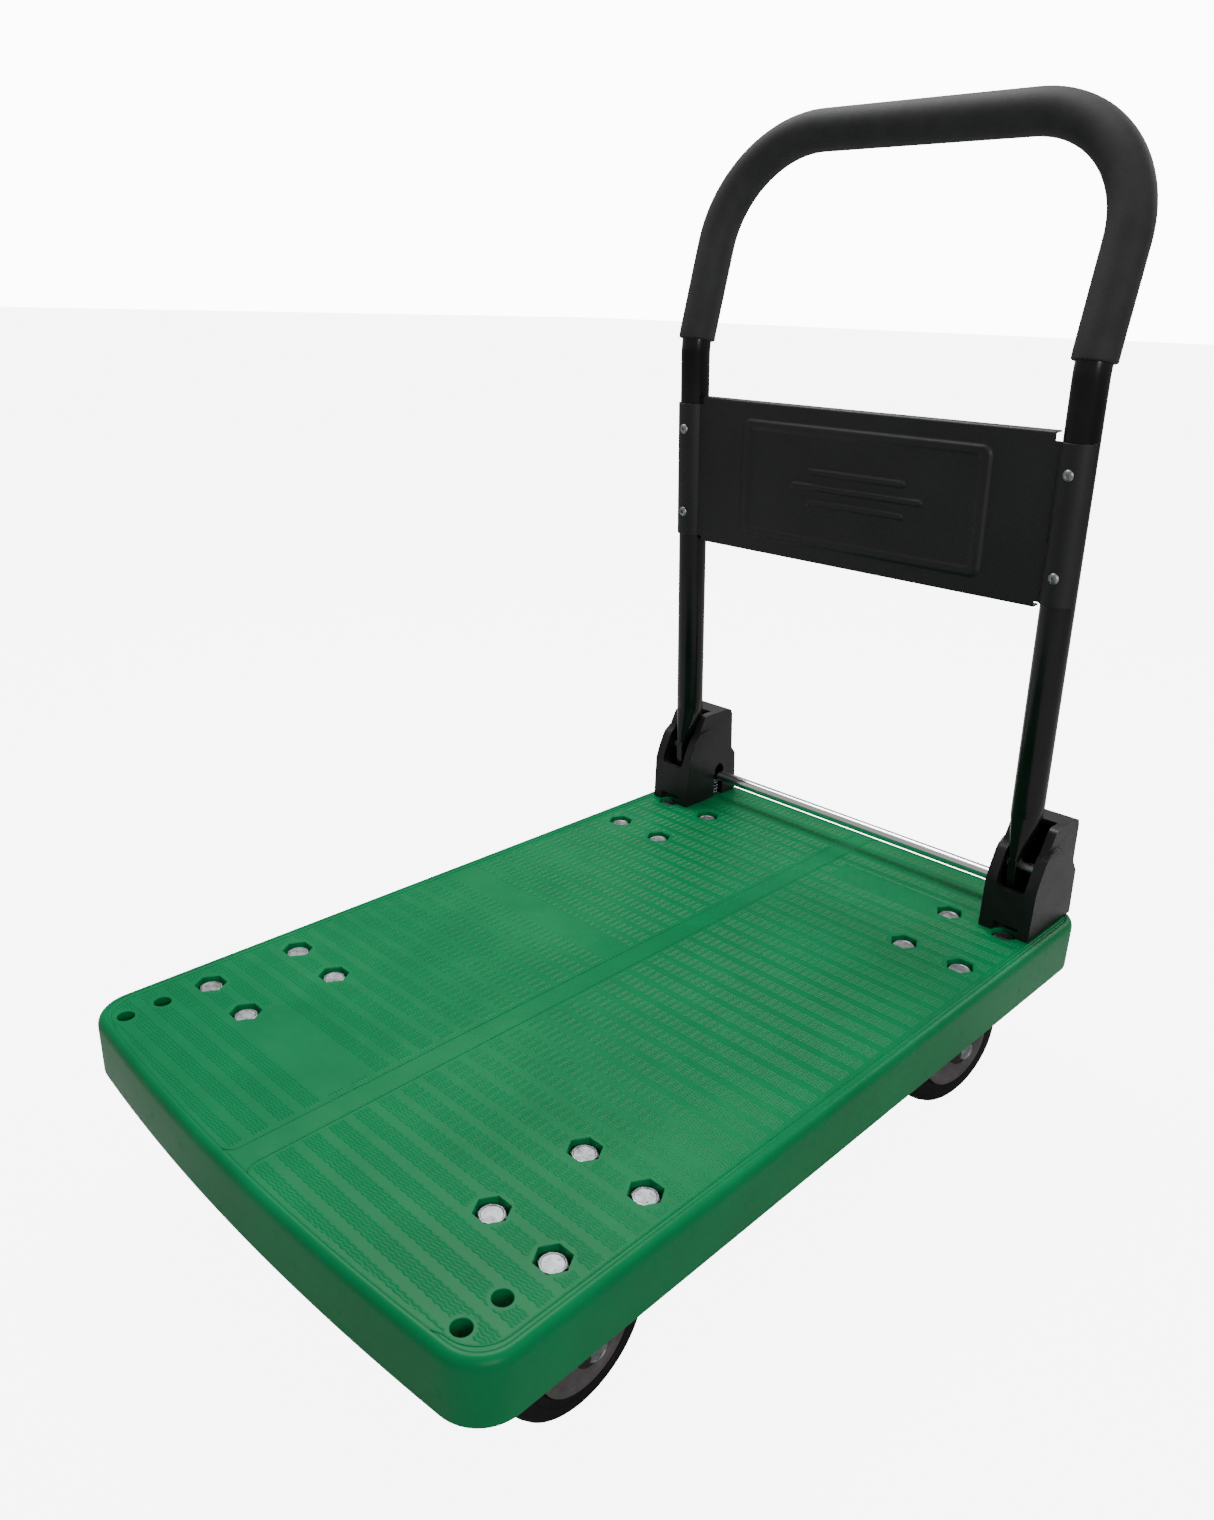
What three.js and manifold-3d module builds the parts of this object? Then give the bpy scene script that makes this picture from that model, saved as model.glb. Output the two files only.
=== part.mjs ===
import * as THREE from "three";
import { mergeVertices } from "three/addons/utils/BufferGeometryUtils.js";
import Module from "manifold-3d";

// Folding platform cart. Millimetres, +Z up, +X across the width, +Y from the free end to the handle.
// The origin is on the floor, under the middle of the deck.

// Deck
const DECK_WIDTH = 475;
const DECK_LENGTH = 750;
const DECK_TOP = 168;
const SKIRT_HEIGHT = 48;
const SKIRT_WALL = 5;
const DECK_FLOOR = 6;
const EDGE_ROUND = 8;
const CORNER_RADIUS = 33;
const FRONT_BOW_RADIUS = 2150;
const RIB_THICKNESS = 4;
const RIB_BOTTOM = 138;
const CORNER_HOLE_RADIUS = 6.5;
const CORNER_HOLE_X = 204;
const CORNER_HOLE_Y = [-345.6, -316.1];

// Casters
const CASTER_X = 175;
const FRONT_CASTER_Y = -236;
const REAR_CASTER_Y = 242.5;
const CASTER_PLATE_TOP = 152;
const CASTER_PLATE_THICKNESS = 3;
const CASTER_PLATE_WIDTH = 80;
const CASTER_PLATE_LENGTH = 105;
const BOLT_SPACING_X = 55;
const BOLT_SPACING_Y = 80;
const BOLT_RADIUS = 5;
const BOLT_HEAD_FLATS = 17;
const BOLT_HEAD_HEIGHT = 6.3;
const BOLT_POCKET_FLATS = 21.5;
const BOLT_POCKET_DEPTH = 10;
const FRONT_AXLE_SHIFT = 2;
const KINGPIN_SHIFT = -12;
const SWIVEL_TRAIL = 14;
const SWIVEL_REST_ANGLE = 10;
const LEG_INNER = 19.8;
const LEG_THICKNESS = 3;

// Wheels
const WHEEL_RADIUS = 62.5;
const SHOULDER_RADIUS = 55.5;
const TYRE_HALF_WIDTH = 14.6;
const CORE_RADIUS = 40;
const CORE_HALF_WIDTH = 17.2;
const HUB_HALF_WIDTH = 19.2;
const AXLE_RADIUS = 6;
const AXLE_HEAD_FLATS = 15;

// Hinge blocks
const BLOCK_X = 201.3;
const BLOCK_WIDTH = 48;
const BLOCK_FRONT = 281;
const BLOCK_REAR = 367;
const BLOCK_HEIGHT = 100.5;
const BLOCK_LIP = 42.5;
const MOUTH_RADIUS = 7;
const SLOT_WIDTH = 28;
const SLOT_X = 201;
const PIVOT_Y = 304;
const PIVOT_Z = 228;
const PIVOT_RADIUS = 5;
const SCREW_TOP = 174;

// Handle: a bent tube, straight posts that lean forward and a loop that leans back
const POST_X = 196.7;
const POST_LEAN = 3.45;
const LOOP_LEAN = 14.3;
const TUBE_RADIUS = 14;
const TUBE_BORE = 12.4;
const PLUG_RADIUS = 11.4;
const TUBE_START = 50;
const BEND_AT = 428.8;
const BEND_RADIUS = 80;
const LOOP_HEIGHT = 187.4;
const LOOP_CORNER = 97.5;
const GRIP_RADIUS = 17.5;
const GRIP_START = 434;
const BLADE_THICKNESS = 8;
const BLADE_HALF_WIDTH = 17;
const CAM_RADIUS = 41.2;

// Handle panel
const PANEL_HALF_WIDTH = 179;
const PANEL_LOW = 238.2;
const PANEL_HIGH = 379.7;
const TAB_LOW = 243.4;
const TAB_HIGH = 372.7;
const PANEL_SHEET = 1.5;
const RIVET_HEIGHTS = [267, 348.6];

// Release bar
const BAR_Y = 336;
const BAR_Z = 193;
const BAR_RADIUS = 6;
const BAR_NECK_RADIUS = 4.6;
const BAR_HALF_LENGTH = 207;
const BAR_NECK_START = 176.8;

const GAP = 0.3;
const wasm = await Module();
wasm.setup();
const { Manifold, Mesh } = wasm;

const radians = (degrees) => (degrees * Math.PI) / 180;

function toSolid(geometry) {
  const bare = geometry.index ? geometry.toNonIndexed() : geometry.clone();
  for (const name of Object.keys(bare.attributes)) {
    if (name !== "position") bare.deleteAttribute(name);
  }
  const welded = mergeVertices(bare, 1e-4);
  const mesh = new Mesh({
    numProp: 3,
    vertProperties: new Float32Array(welded.attributes.position.array),
    triVerts: new Uint32Array(welded.index.array),
  });
  mesh.merge();
  return new Manifold(mesh);
}

function toGeometry(solid) {
  const mesh = solid.getMesh();
  const geometry = new THREE.BufferGeometry();
  geometry.setAttribute("position", new THREE.BufferAttribute(mesh.vertProperties, 3));
  geometry.setIndex(new THREE.BufferAttribute(mesh.triVerts, 1));
  return geometry;
}

const group = new THREE.Group();
group.name = "platform_cart";

function addPart(name, solid, color, metalness, roughness) {
  const geometry = toGeometry(solid);
  const shaded = geometry.toNonIndexed();
  shaded.computeVertexNormals();
  const material = new THREE.MeshStandardMaterial({ color, metalness, roughness });
  material.name = name;
  const mesh = new THREE.Mesh(shaded, material);
  mesh.name = name;
  group.add(mesh);
  return mesh;
}

// Basic solids
function box(x0, x1, y0, y1, z0, z1) {
  const geometry = new THREE.BoxGeometry(x1 - x0, y1 - y0, z1 - z0);
  geometry.translate((x0 + x1) / 2, (y0 + y1) / 2, (z0 + z1) / 2);
  return toSolid(geometry);
}

function taper(lowRadius, highRadius, z0, z1, sides) {
  // Round bar along Z whose first corner lies on +X
  const quarter = Math.PI / 2;
  const geometry = new THREE.CylinderGeometry(highRadius, lowRadius, z1 - z0, sides, 1, false, quarter);
  geometry.rotateX(quarter);
  geometry.translate(0, 0, (z0 + z1) / 2);
  return toSolid(geometry);
}

function rod(radius, z0, z1, sides = 24) {
  return taper(radius, radius, z0, z1, sides);
}

function loft(rings, sides) {
  // Elliptical rings from the top down, as [height, half width in X, half width in Y], with flat ends
  const positions = [];
  const index = [];
  for (const [z, halfX, halfY] of rings) {
    for (let k = 0; k < sides; k += 1) {
      const angle = (2 * Math.PI * k) / sides;
      positions.push(halfX * Math.cos(angle), halfY * Math.sin(angle), z);
    }
  }
  for (let row = 0; row + 1 < rings.length; row += 1) {
    for (let k = 0; k < sides; k += 1) {
      const here = row * sides + k;
      const next = row * sides + ((k + 1) % sides);
      index.push(here, here + sides, next);
      index.push(next, here + sides, next + sides);
    }
  }
  const last = (rings.length - 1) * sides;
  for (let k = 1; k + 1 < sides; k += 1) {
    index.push(0, k, k + 1);
    index.push(last, last + k + 1, last + k);
  }
  const geometry = new THREE.BufferGeometry();
  geometry.setAttribute("position", new THREE.Float32BufferAttribute(positions, 3));
  geometry.setIndex(index);
  return toSolid(geometry);
}

function hexagon(flats, z0, z1) {
  return rod(flats / Math.sqrt(3), z0, z1, 6);
}

function alongX(solid) {
  return solid.rotate([0, 90, 0]);
}

function lathe(profile, sides) {
  const points = profile.map(([r, z]) => new THREE.Vector2(r, z));
  points.push(points[0].clone());
  const geometry = new THREE.LatheGeometry(points, sides);
  geometry.rotateX(Math.PI / 2);
  const solid = toSolid(geometry);
  return solid.volume() < 0 ? toSolid(flip(geometry)) : solid;
}

function flip(geometry) {
  const index = geometry.index.array;
  for (let i = 0; i < index.length; i += 3) {
    const keep = index[i];
    index[i] = index[i + 1];
    index[i + 1] = keep;
  }
  return geometry;
}

function prismX(points, x0, x1) {
  // Outline given in Y and Z, pushed along X
  const shape = new THREE.Shape(points.map(([y, z]) => new THREE.Vector2(y, z)));
  const geometry = new THREE.ExtrudeGeometry(shape, { depth: x1 - x0, bevelEnabled: false });
  geometry.rotateX(Math.PI / 2);
  geometry.rotateZ(Math.PI / 2);
  geometry.translate(x0, 0, 0);
  return toSolid(geometry);
}

function mirrored(solid, side) {
  return side > 0 ? solid : solid.mirror([1, 0, 0]);
}

function filleted(corners) {
  // Corners as [x, y, radius], anticlockwise; each corner is replaced by a short arc
  const points = [];
  const count = corners.length;
  for (let i = 0; i < count; i += 1) {
    const [x, y, radius] = corners[i];
    const before = corners[(i + count - 1) % count];
    const after = corners[(i + 1) % count];
    const here = new THREE.Vector2(x, y);
    if (radius <= 0) {
      points.push(here);
      continue;
    }
    const a = new THREE.Vector2(before[0] - x, before[1] - y).normalize();
    const b = new THREE.Vector2(after[0] - x, after[1] - y).normalize();
    const half = Math.acos(a.dot(b)) / 2;
    const reach = radius / Math.tan(half);
    const middle = a.clone().add(b).normalize().multiplyScalar(radius / Math.sin(half));
    const centre = here.clone().add(middle);
    const start = here.clone().add(a.multiplyScalar(reach)).sub(centre);
    const end = here.clone().add(b.multiplyScalar(reach)).sub(centre);
    let sweep = end.angle() - start.angle();
    if (sweep > Math.PI) sweep -= 2 * Math.PI;
    if (sweep < -Math.PI) sweep += 2 * Math.PI;
    const steps = Math.max(2, Math.ceil((Math.abs(sweep) / Math.PI) * 12));
    for (let k = 0; k <= steps; k += 1) {
      const angle = start.angle() + (sweep * k) / steps;
      points.push(new THREE.Vector2(
        centre.x + radius * Math.cos(angle),
        centre.y + radius * Math.sin(angle),
      ));
    }
  }
  return points;
}

// Deck outline: straight sides and rear, gently bowed front
function deckOutline(inset) {
  const halfWidth = DECK_WIDTH / 2 - inset;
  const rear = DECK_LENGTH / 2 - inset;
  const radius = Math.max(CORNER_RADIUS - inset, 2);
  const bow = (x) => {
    const sag = FRONT_BOW_RADIUS - Math.sqrt(FRONT_BOW_RADIUS ** 2 - x * x);
    return -DECK_LENGTH / 2 + inset + sag;
  };
  const corners = [[-halfWidth, bow(halfWidth), radius]];
  for (let k = -3; k <= 3; k += 1) {
    const x = (k / 4) * halfWidth;
    corners.push([x, bow(x), 0]);
  }
  corners.push([halfWidth, bow(halfWidth), radius]);
  corners.push([halfWidth, rear, radius]);
  corners.push([-halfWidth, rear, radius]);
  return filleted(corners);
}

function casterCentres() {
  const list = [];
  for (const [end, y] of [["front", FRONT_CASTER_Y], ["rear", REAR_CASTER_Y]]) {
    for (const [hand, side] of [["left", -1], ["right", 1]]) {
      list.push({ end, hand, side, x: side * CASTER_X, y });
    }
  }
  return list;
}

function boltPlaces(caster) {
  const places = [];
  for (const across of [-1, 1]) {
    for (const along of [-1, 1]) {
      places.push([
        caster.x + (across * BOLT_SPACING_X) / 2,
        caster.y + (along * BOLT_SPACING_Y) / 2,
      ]);
    }
  }
  return places;
}

const blockScrewPlaces = CORNER_HOLE_Y.map((y) => -y);

function buildDeck() {
  const bottom = DECK_TOP - SKIRT_HEIGHT;
  const outer = new THREE.ExtrudeGeometry(new THREE.Shape(deckOutline(0)), {
    depth: SKIRT_HEIGHT,
    bevelEnabled: true,
    bevelThickness: EDGE_ROUND,
    bevelSize: EDGE_ROUND,
    bevelOffset: -EDGE_ROUND,
    bevelSegments: 2,
    curveSegments: 6,
  });
  outer.translate(0, 0, bottom - EDGE_ROUND);
  const slab = toSolid(outer).intersect(box(-400, 400, -500, 500, bottom, DECK_TOP + 1));
  const hollow = new THREE.ExtrudeGeometry(new THREE.Shape(deckOutline(SKIRT_WALL)), {
    depth: SKIRT_HEIGHT - DECK_FLOOR + 1,
    bevelEnabled: false,
  });
  hollow.translate(0, 0, bottom - 1);
  let inside = toSolid(hollow);
  const fillers = [];
  const under = DECK_TOP - DECK_FLOOR + 1;
  for (const x of [-100, 0, 100]) {
    fillers.push(box(x - RIB_THICKNESS / 2, x + RIB_THICKNESS / 2, -380, 380, RIB_BOTTOM, under));
  }
  for (const y of [-331, -120, 0, 120, 331]) {
    fillers.push(box(-240, 240, y - RIB_THICKNESS / 2, y + RIB_THICKNESS / 2, RIB_BOTTOM, under));
  }
  for (const { x, y } of casterCentres()) {
    fillers.push(box(x - 46, x + 46, y - 57.5, y + 57.5, CASTER_PLATE_TOP + GAP, under));
  }
  for (const side of [-1, 1]) {
    const x = side * BLOCK_X;
    fillers.push(box(x - 26, x + 26, 299, 362, 150, under));
    fillers.push(box(x - 26, x + 26, -362, -292, 150, under));
  }
  let holes = [];
  for (const caster of casterCentres()) {
    for (const [x, y] of boltPlaces(caster)) {
      holes.push(rod(BOLT_RADIUS + 0.5, 100, 200, 10).translate([x, y, 0]));
      const pocket = hexagon(BOLT_POCKET_FLATS, DECK_TOP - BOLT_POCKET_DEPTH, 200);
      holes.push(pocket.translate([x, y, 0]));
    }
  }
  for (const side of [-1, 1]) {
    for (const y of CORNER_HOLE_Y) {
      holes.push(rod(CORNER_HOLE_RADIUS, 100, 200, 16).translate([side * CORNER_HOLE_X, y, 0]));
    }
    for (const y of blockScrewPlaces) {
      holes.push(rod(5.5, 100, 200, 10).translate([side * CORNER_HOLE_X, y, 0]));
    }
  }
  inside = inside.subtract(Manifold.union(fillers));
  return slab.subtract(inside).subtract(Manifold.union(holes));
}

function slotMouth(x0, x1, z0, z1) {
  // Round-bottomed opening through the front wall, 13 mm deep along Y
  const shape = new THREE.Shape(filleted([
    [x0, z0, MOUTH_RADIUS], [x1, z0, MOUTH_RADIUS], [x1, z1, 0], [x0, z1, 0],
  ]));
  const geometry = new THREE.ExtrudeGeometry(shape, { depth: 13, bevelEnabled: false });
  geometry.rotateX(Math.PI / 2);
  geometry.translate(0, 13, 0);
  return toSolid(geometry);
}

// Hinge blocks: a floor, a low front wall, two thick cheeks and a closed rear hood
function buildBlock(side) {
  const base = DECK_TOP + GAP;
  const low = BLOCK_X - BLOCK_WIDTH / 2;
  const high = BLOCK_X + BLOCK_WIDTH / 2;
  const f = BLOCK_FRONT;
  const r = BLOCK_REAR;
  const z = (height) => DECK_TOP + height;
  const lower = prismX([
    [f, base], [r, base], [r - 4, z(46)], [f + 80, z(48)], [f + 72, z(58)], [f + 62, z(68)],
    [f + 50, z(76)], [f + 40, z(81)], [f + 32, z(83)], [f + 23, z(82)], [f + 19, z(80)],
    [f + 14, z(77)], [f + 11, z(73)], [f + 5, z(60)], [f + 0.6, z(47)],
  ], low, high);
  const upper = prismX([
    [f + 6, z(40)], [r - 6.5, z(40)], [r - 10.5, z(93)], [r - 13, z(98.5)], [r - 18, z(BLOCK_HEIGHT)],
    [f + 32, z(BLOCK_HEIGHT)], [f + 27, z(97.5)], [f + 20, z(84)], [f + 12, z(70)],
  ], low + 2.4, high - 2.4);
  const cavityLow = SLOT_X - SLOT_WIDTH / 2;
  const cavityHigh = SLOT_X + SLOT_WIDTH / 2;
  const cavity = prismX([
    [f + 7, z(12)], [r - 13, z(12)], [r - 15.5, z(88)], [r - 20, z(96.5)],
    [f + 46, z(96.5)], [f + 46, z(140)], [f + 7, z(140)],
  ], cavityLow, cavityHigh);
  const mouth = slotMouth(cavityLow, cavityHigh, z(BLOCK_LIP), z(140)).translate([0, f - 5, 0]);
  const slot = prismX([
    [BAR_Y - 7.5, base - 1], [BAR_Y + 7.5, base - 1], [BAR_Y + 7.5, z(32)],
    [BAR_Y + 4, z(37.5)], [BAR_Y, z(39)], [BAR_Y - 4, z(37.5)], [BAR_Y - 7.5, z(32)],
  ], low - 5, BLOCK_X + 10);
  const pinHole = alongX(rod(PIVOT_RADIUS + GAP, low + 3, high - 3, 20)).translate([0, PIVOT_Y, PIVOT_Z]);
  const boltRelief = rod(12, base - 1, base + 9, 20);
  const cuts = [cavity, mouth, slot, pinHole];
  cuts.push(boltRelief.translate([CASTER_X + BOLT_SPACING_X / 2, REAR_CASTER_Y + BOLT_SPACING_Y / 2, 0]));
  for (const y of blockScrewPlaces) {
    cuts.push(rod(5 + GAP, base - 1, SCREW_TOP + 1, 16).translate([CORNER_HOLE_X, y, 0]));
  }
  return mirrored(lower.add(upper).subtract(Manifold.union(cuts)), side);
}

function buildPivotPin(side) {
  const low = BLOCK_X - BLOCK_WIDTH / 2 + 3 + GAP;
  const high = BLOCK_X + BLOCK_WIDTH / 2 - 3 - GAP;
  return mirrored(alongX(rod(PIVOT_RADIUS, low, high, 20)).translate([0, PIVOT_Y, PIVOT_Z]), side);
}

// Handle frame: heights run up the posts from the pivot, then the whole is leaned forward
function place(solid) {
  return solid.rotate([POST_LEAN, 0, 0]).translate([0, PIVOT_Y, PIVOT_Z]);
}

class HandlePath extends THREE.Curve {
  // Runs up the right post, over the loop and down the left post, with one station per tube ring
  constructor(start) {
    super();
    const turn = radians(POST_LEAN + LOOP_LEAN);
    const reach = BEND_RADIUS * Math.tan(turn / 2);
    const low = BEND_AT - reach;
    const upY = Math.sin(turn);
    const upZ = Math.cos(turn);
    const into = Math.max(start - low, 0);
    const half = [[POST_X, BEND_RADIUS - Math.sqrt(BEND_RADIUS ** 2 - into ** 2), start]];
    for (let k = 0; k <= 4; k += 1) {
      const angle = (turn * k) / 4;
      const height = low + BEND_RADIUS * Math.sin(angle);
      if (height > start + 1) half.push([POST_X, BEND_RADIUS * (1 - Math.cos(angle)), height]);
    }
    for (let k = 0; k <= 7; k += 1) {
      const angle = (Math.PI / 2) * (k / 7);
      const run = LOOP_HEIGHT - LOOP_CORNER * (1 - Math.sin(angle));
      const x = POST_X - LOOP_CORNER * (1 - Math.cos(angle));
      half.push([x, run * upY, BEND_AT + run * upZ]);
    }
    const other = half.map(([x, y, z]) => [-x, y, z]).reverse();
    this.stations = [...half, ...other].map((point) => new THREE.Vector3(...point));
    this.steps = this.stations.length - 1;
  }

  getPoint(t, target = new THREE.Vector3()) {
    const at = Math.min(Math.max(t, 0), 1) * this.steps;
    const index = Math.min(Math.floor(at), this.steps - 1);
    return target.lerpVectors(this.stations[index], this.stations[index + 1], at - index);
  }

  getUtoTmapping(u) {
    return u;
  }
}

function circlePoints(radius, sides) {
  const points = [];
  for (let k = 0; k < sides; k += 1) {
    const angle = (2 * Math.PI * k) / sides;
    points.push(new THREE.Vector2(radius * Math.cos(angle), radius * Math.sin(angle)));
  }
  return points;
}

function pipe(path, outer, inner, sides, innerSides) {
  const shape = new THREE.Shape(circlePoints(outer, sides));
  shape.holes.push(new THREE.Path(circlePoints(inner, innerSides).reverse()));
  const geometry = new THREE.ExtrudeGeometry(shape, {
    steps: path.steps,
    extrudePath: path,
    bevelEnabled: false,
  });
  const solid = toSolid(geometry);
  return solid.volume() < 0 ? toSolid(flip(mergeVertices(geometry))) : solid;
}

// Flattened post end: the round tube is pressed into a blade that turns on the pivot pin
function buildBlade(side) {
  const rings = [
    [TUBE_START + 26, PLUG_RADIUS, PLUG_RADIUS],
    [TUBE_START, PLUG_RADIUS, PLUG_RADIUS],
    [TUBE_START - GAP, TUBE_RADIUS, TUBE_RADIUS],
    [TUBE_START - 8, 11.4, 15.2],
    [TUBE_START - 20, 6.8, 16.4],
    [TUBE_START - 28, BLADE_THICKNESS / 2, BLADE_HALF_WIDTH],
    [8, BLADE_THICKNESS / 2, BLADE_HALF_WIDTH],
  ];
  const half = BLADE_THICKNESS / 2;
  const cheek = [];
  const edge = [
    [-106, CAM_RADIUS], [-94, CAM_RADIUS], [-82, CAM_RADIUS], [-70, CAM_RADIUS],
    [-58, CAM_RADIUS], [-46, CAM_RADIUS], [-36, CAM_RADIUS],
  ];
  for (const [degrees, radius] of edge) {
    const angle = radians(degrees);
    cheek.push([radius * Math.cos(angle), radius * Math.sin(angle)]);
  }
  cheek.push([BLADE_HALF_WIDTH, 4]);
  cheek.push([BLADE_HALF_WIDTH, 22]);
  cheek.push([-BLADE_HALF_WIDTH, 22]);
  cheek.push([-BLADE_HALF_WIDTH, -6]);
  const cam = prismX(cheek, -half, half);
  const hole = alongX(rod(PIVOT_RADIUS + GAP, -20, 20, 20));
  const solid = loft(rings, 20).add(cam).subtract(hole);
  return mirrored(place(solid.translate([POST_X, 0, 0])), side);
}

function buildPanel() {
  const sheet = PANEL_SHEET;
  const fieldFront = -8;
  const saddleInner = TUBE_RADIUS + GAP;
  const field = box(-PANEL_HALF_WIDTH, PANEL_HALF_WIDTH, fieldFront, fieldFront + sheet, PANEL_LOW, PANEL_HIGH);
  const pieces = [field];
  for (const z of [PANEL_LOW, PANEL_HIGH - sheet]) {
    pieces.push(box(-PANEL_HALF_WIDTH, PANEL_HALF_WIDTH, fieldFront, fieldFront + 10, z, z + sheet));
  }
  const frame = (halfX, low, high, radius) => {
    const corners = [[-halfX, low, radius], [halfX, low, radius], [halfX, high, radius], [-halfX, high, radius]];
    const geometry = new THREE.ExtrudeGeometry(new THREE.Shape(filleted(corners)), {
      depth: 2.6,
      bevelEnabled: false,
    });
    geometry.rotateX(Math.PI / 2);
    geometry.translate(0, fieldFront + 0.8, 0);
    return toSolid(geometry);
  };
  pieces.push(frame(129, 253.5, 365.7, 9).subtract(frame(121.5, 259.2, 357.4, 6)));
  const saddle = rod(saddleInner + sheet, TAB_LOW, TAB_HIGH, 32).subtract(rod(saddleInner, 0, 500, 32));
  const kept = prismTab();
  const web = box(-19, -12.2, fieldFront, fieldFront + sheet, TAB_LOW, TAB_HIGH);
  for (const side of [-1, 1]) {
    const tab = saddle.intersect(kept).add(web);
    pieces.push(side > 0 ? tab.translate([POST_X, 0, 0]) : tab.mirror([1, 0, 0]).translate([-POST_X, 0, 0]));
  }
  let panel = Manifold.union(pieces);
  for (const side of [-1, 1]) {
    for (const height of RIVET_HEIGHTS) {
      panel = panel.subtract(rivetHole().translate([side * POST_X, 0, height]));
    }
  }
  return place(panel);
}

function prismTab() {
  // Keeps the saddle from its inner foot round the front to the outer flank
  const geometry = new THREE.ExtrudeGeometry(new THREE.Shape([
    new THREE.Vector2(-30, -7),
    new THREE.Vector2(-30, -30),
    new THREE.Vector2(30, -30),
    new THREE.Vector2(30, -5),
    new THREE.Vector2(0, -5),
    new THREE.Vector2(0, -7),
  ]), { depth: 200, bevelEnabled: false });
  geometry.translate(0, 0, 220);
  return toSolid(geometry);
}

function rivetHole() {
  return rod(2.4 + GAP, 0, 12, 12).rotate([90, 0, 0]).translate([0, -10, 0]);
}

function buildRivet(side, height) {
  const front = TUBE_RADIUS + GAP + PANEL_SHEET;
  const head = taper(4.6, 3.2, 0, 1.8, 16).rotate([90, 0, 0]).translate([0, -front - GAP, 0]);
  const shank = rod(2.4, 0, front + GAP + 0.4 - TUBE_RADIUS - 0.2, 12).rotate([90, 0, 0]);
  const rivet = head.add(shank.translate([0, -TUBE_RADIUS - 0.2, 0]));
  return place(rivet.translate([side * POST_X, 0, height]));
}

function buildReleaseBar() {
  const middle = rod(BAR_RADIUS, -BAR_NECK_START + 1.5, BAR_NECK_START - 1.5, 16);
  const neck = rod(BAR_NECK_RADIUS, -BAR_HALF_LENGTH, BAR_HALF_LENGTH, 12);
  const shoulder = [];
  for (const side of [-1, 1]) {
    const placed = taper(BAR_RADIUS, BAR_NECK_RADIUS, BAR_NECK_START - 1.6, BAR_NECK_START, 16);
    shoulder.push(side > 0 ? placed : placed.mirror([0, 0, 1]));
  }
  return alongX(Manifold.union([middle, neck, ...shoulder])).translate([0, BAR_Y, BAR_Z]);
}

function buildBarSpring(side) {
  const low = DECK_TOP + GAP;
  const high = BAR_Z - BAR_NECK_RADIUS - GAP;
  const spring = rod(4.2, low, high, 14).subtract(rod(2.8, low - 1, high + 1, 14));
  return mirrored(spring.translate([183, BAR_Y, 0]), side);
}

// Wheels turn about X
function wheelCore() {
  const bore = AXLE_RADIUS + GAP;
  const half = [
    [bore, HUB_HALF_WIDTH], [12.5, HUB_HALF_WIDTH], [14, CORE_HALF_WIDTH - 2.2],
    [33, CORE_HALF_WIDTH - 2.2], [36, CORE_HALF_WIDTH], [CORE_RADIUS, CORE_HALF_WIDTH],
  ];
  return latheBoth(half, 20);
}

function tyreRing() {
  const inner = CORE_RADIUS + GAP;
  const half = [
    [inner, TYRE_HALF_WIDTH], [SHOULDER_RADIUS - 1, TYRE_HALF_WIDTH],
    [SHOULDER_RADIUS + 3.4, TYRE_HALF_WIDTH - 3], [WHEEL_RADIUS, TYRE_HALF_WIDTH * 0.2],
  ];
  return latheBoth(half, 32);
}

function latheBoth(half, sides) {
  // Half profile as [radius, distance from the middle plane]; mirrored to close on itself
  const other = half.map(([r, w]) => [r, -w]).reverse();
  const solid = lathe([...half, ...other], sides);
  return alongX(solid);
}

function axleBolt(headSide) {
  const reach = LEG_INNER + LEG_THICKNESS + GAP;
  const shank = rod(AXLE_RADIUS, -reach - 9.5, reach + 1, 12);
  const head = hexagon(AXLE_HEAD_FLATS, reach, reach + 5);
  const nut = hexagon(AXLE_HEAD_FLATS, -reach - 8, -reach);
  const bolt = Manifold.union([shank, head, nut]);
  return alongX(headSide > 0 ? bolt : bolt.mirror([0, 0, 1]));
}

function forkLeg(points, side) {
  const inner = LEG_INNER;
  const outer = LEG_INNER + LEG_THICKNESS;
  return side > 0 ? prismX(points, inner, outer) : prismX(points, -outer, -inner);
}

function legOutline(axleY, topHalf, topZ, shoulderZ) {
  // Wide at the top, tapering to a round end about the axle
  const points = [[-topHalf, topZ], [-topHalf, shoulderZ]];
  const radius = 15.5;
  for (let k = 0; k <= 10; k += 1) {
    const angle = radians(188 + (k / 10) * 164);
    points.push([axleY + radius * Math.cos(angle), WHEEL_RADIUS + radius * Math.sin(angle)]);
  }
  points.push([topHalf, shoulderZ]);
  points.push([topHalf, topZ]);
  return points;
}

function boltHolesForPlate(dy) {
  const holes = [];
  for (const across of [-1, 1]) {
    for (const along of [-1, 1]) {
      const hole = rod(BOLT_RADIUS + 0.5, 100, 200, 10);
      holes.push(hole.translate([(across * BOLT_SPACING_X) / 2, (along * BOLT_SPACING_Y) / 2 + dy, 0]));
    }
  }
  return Manifold.union(holes);
}

function casterPlate(dy) {
  const halfX = CASTER_PLATE_WIDTH / 2;
  const halfY = CASTER_PLATE_LENGTH / 2;
  const corners = [[-halfX, dy - halfY, 8], [halfX, dy - halfY, 8], [halfX, dy + halfY, 8], [-halfX, dy + halfY, 8]];
  const geometry = new THREE.ExtrudeGeometry(new THREE.Shape(filleted(corners)), {
    depth: CASTER_PLATE_THICKNESS,
    bevelEnabled: false,
  });
  geometry.translate(0, 0, CASTER_PLATE_TOP - CASTER_PLATE_THICKNESS);
  return toSolid(geometry).subtract(boltHolesForPlate(dy));
}

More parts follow.
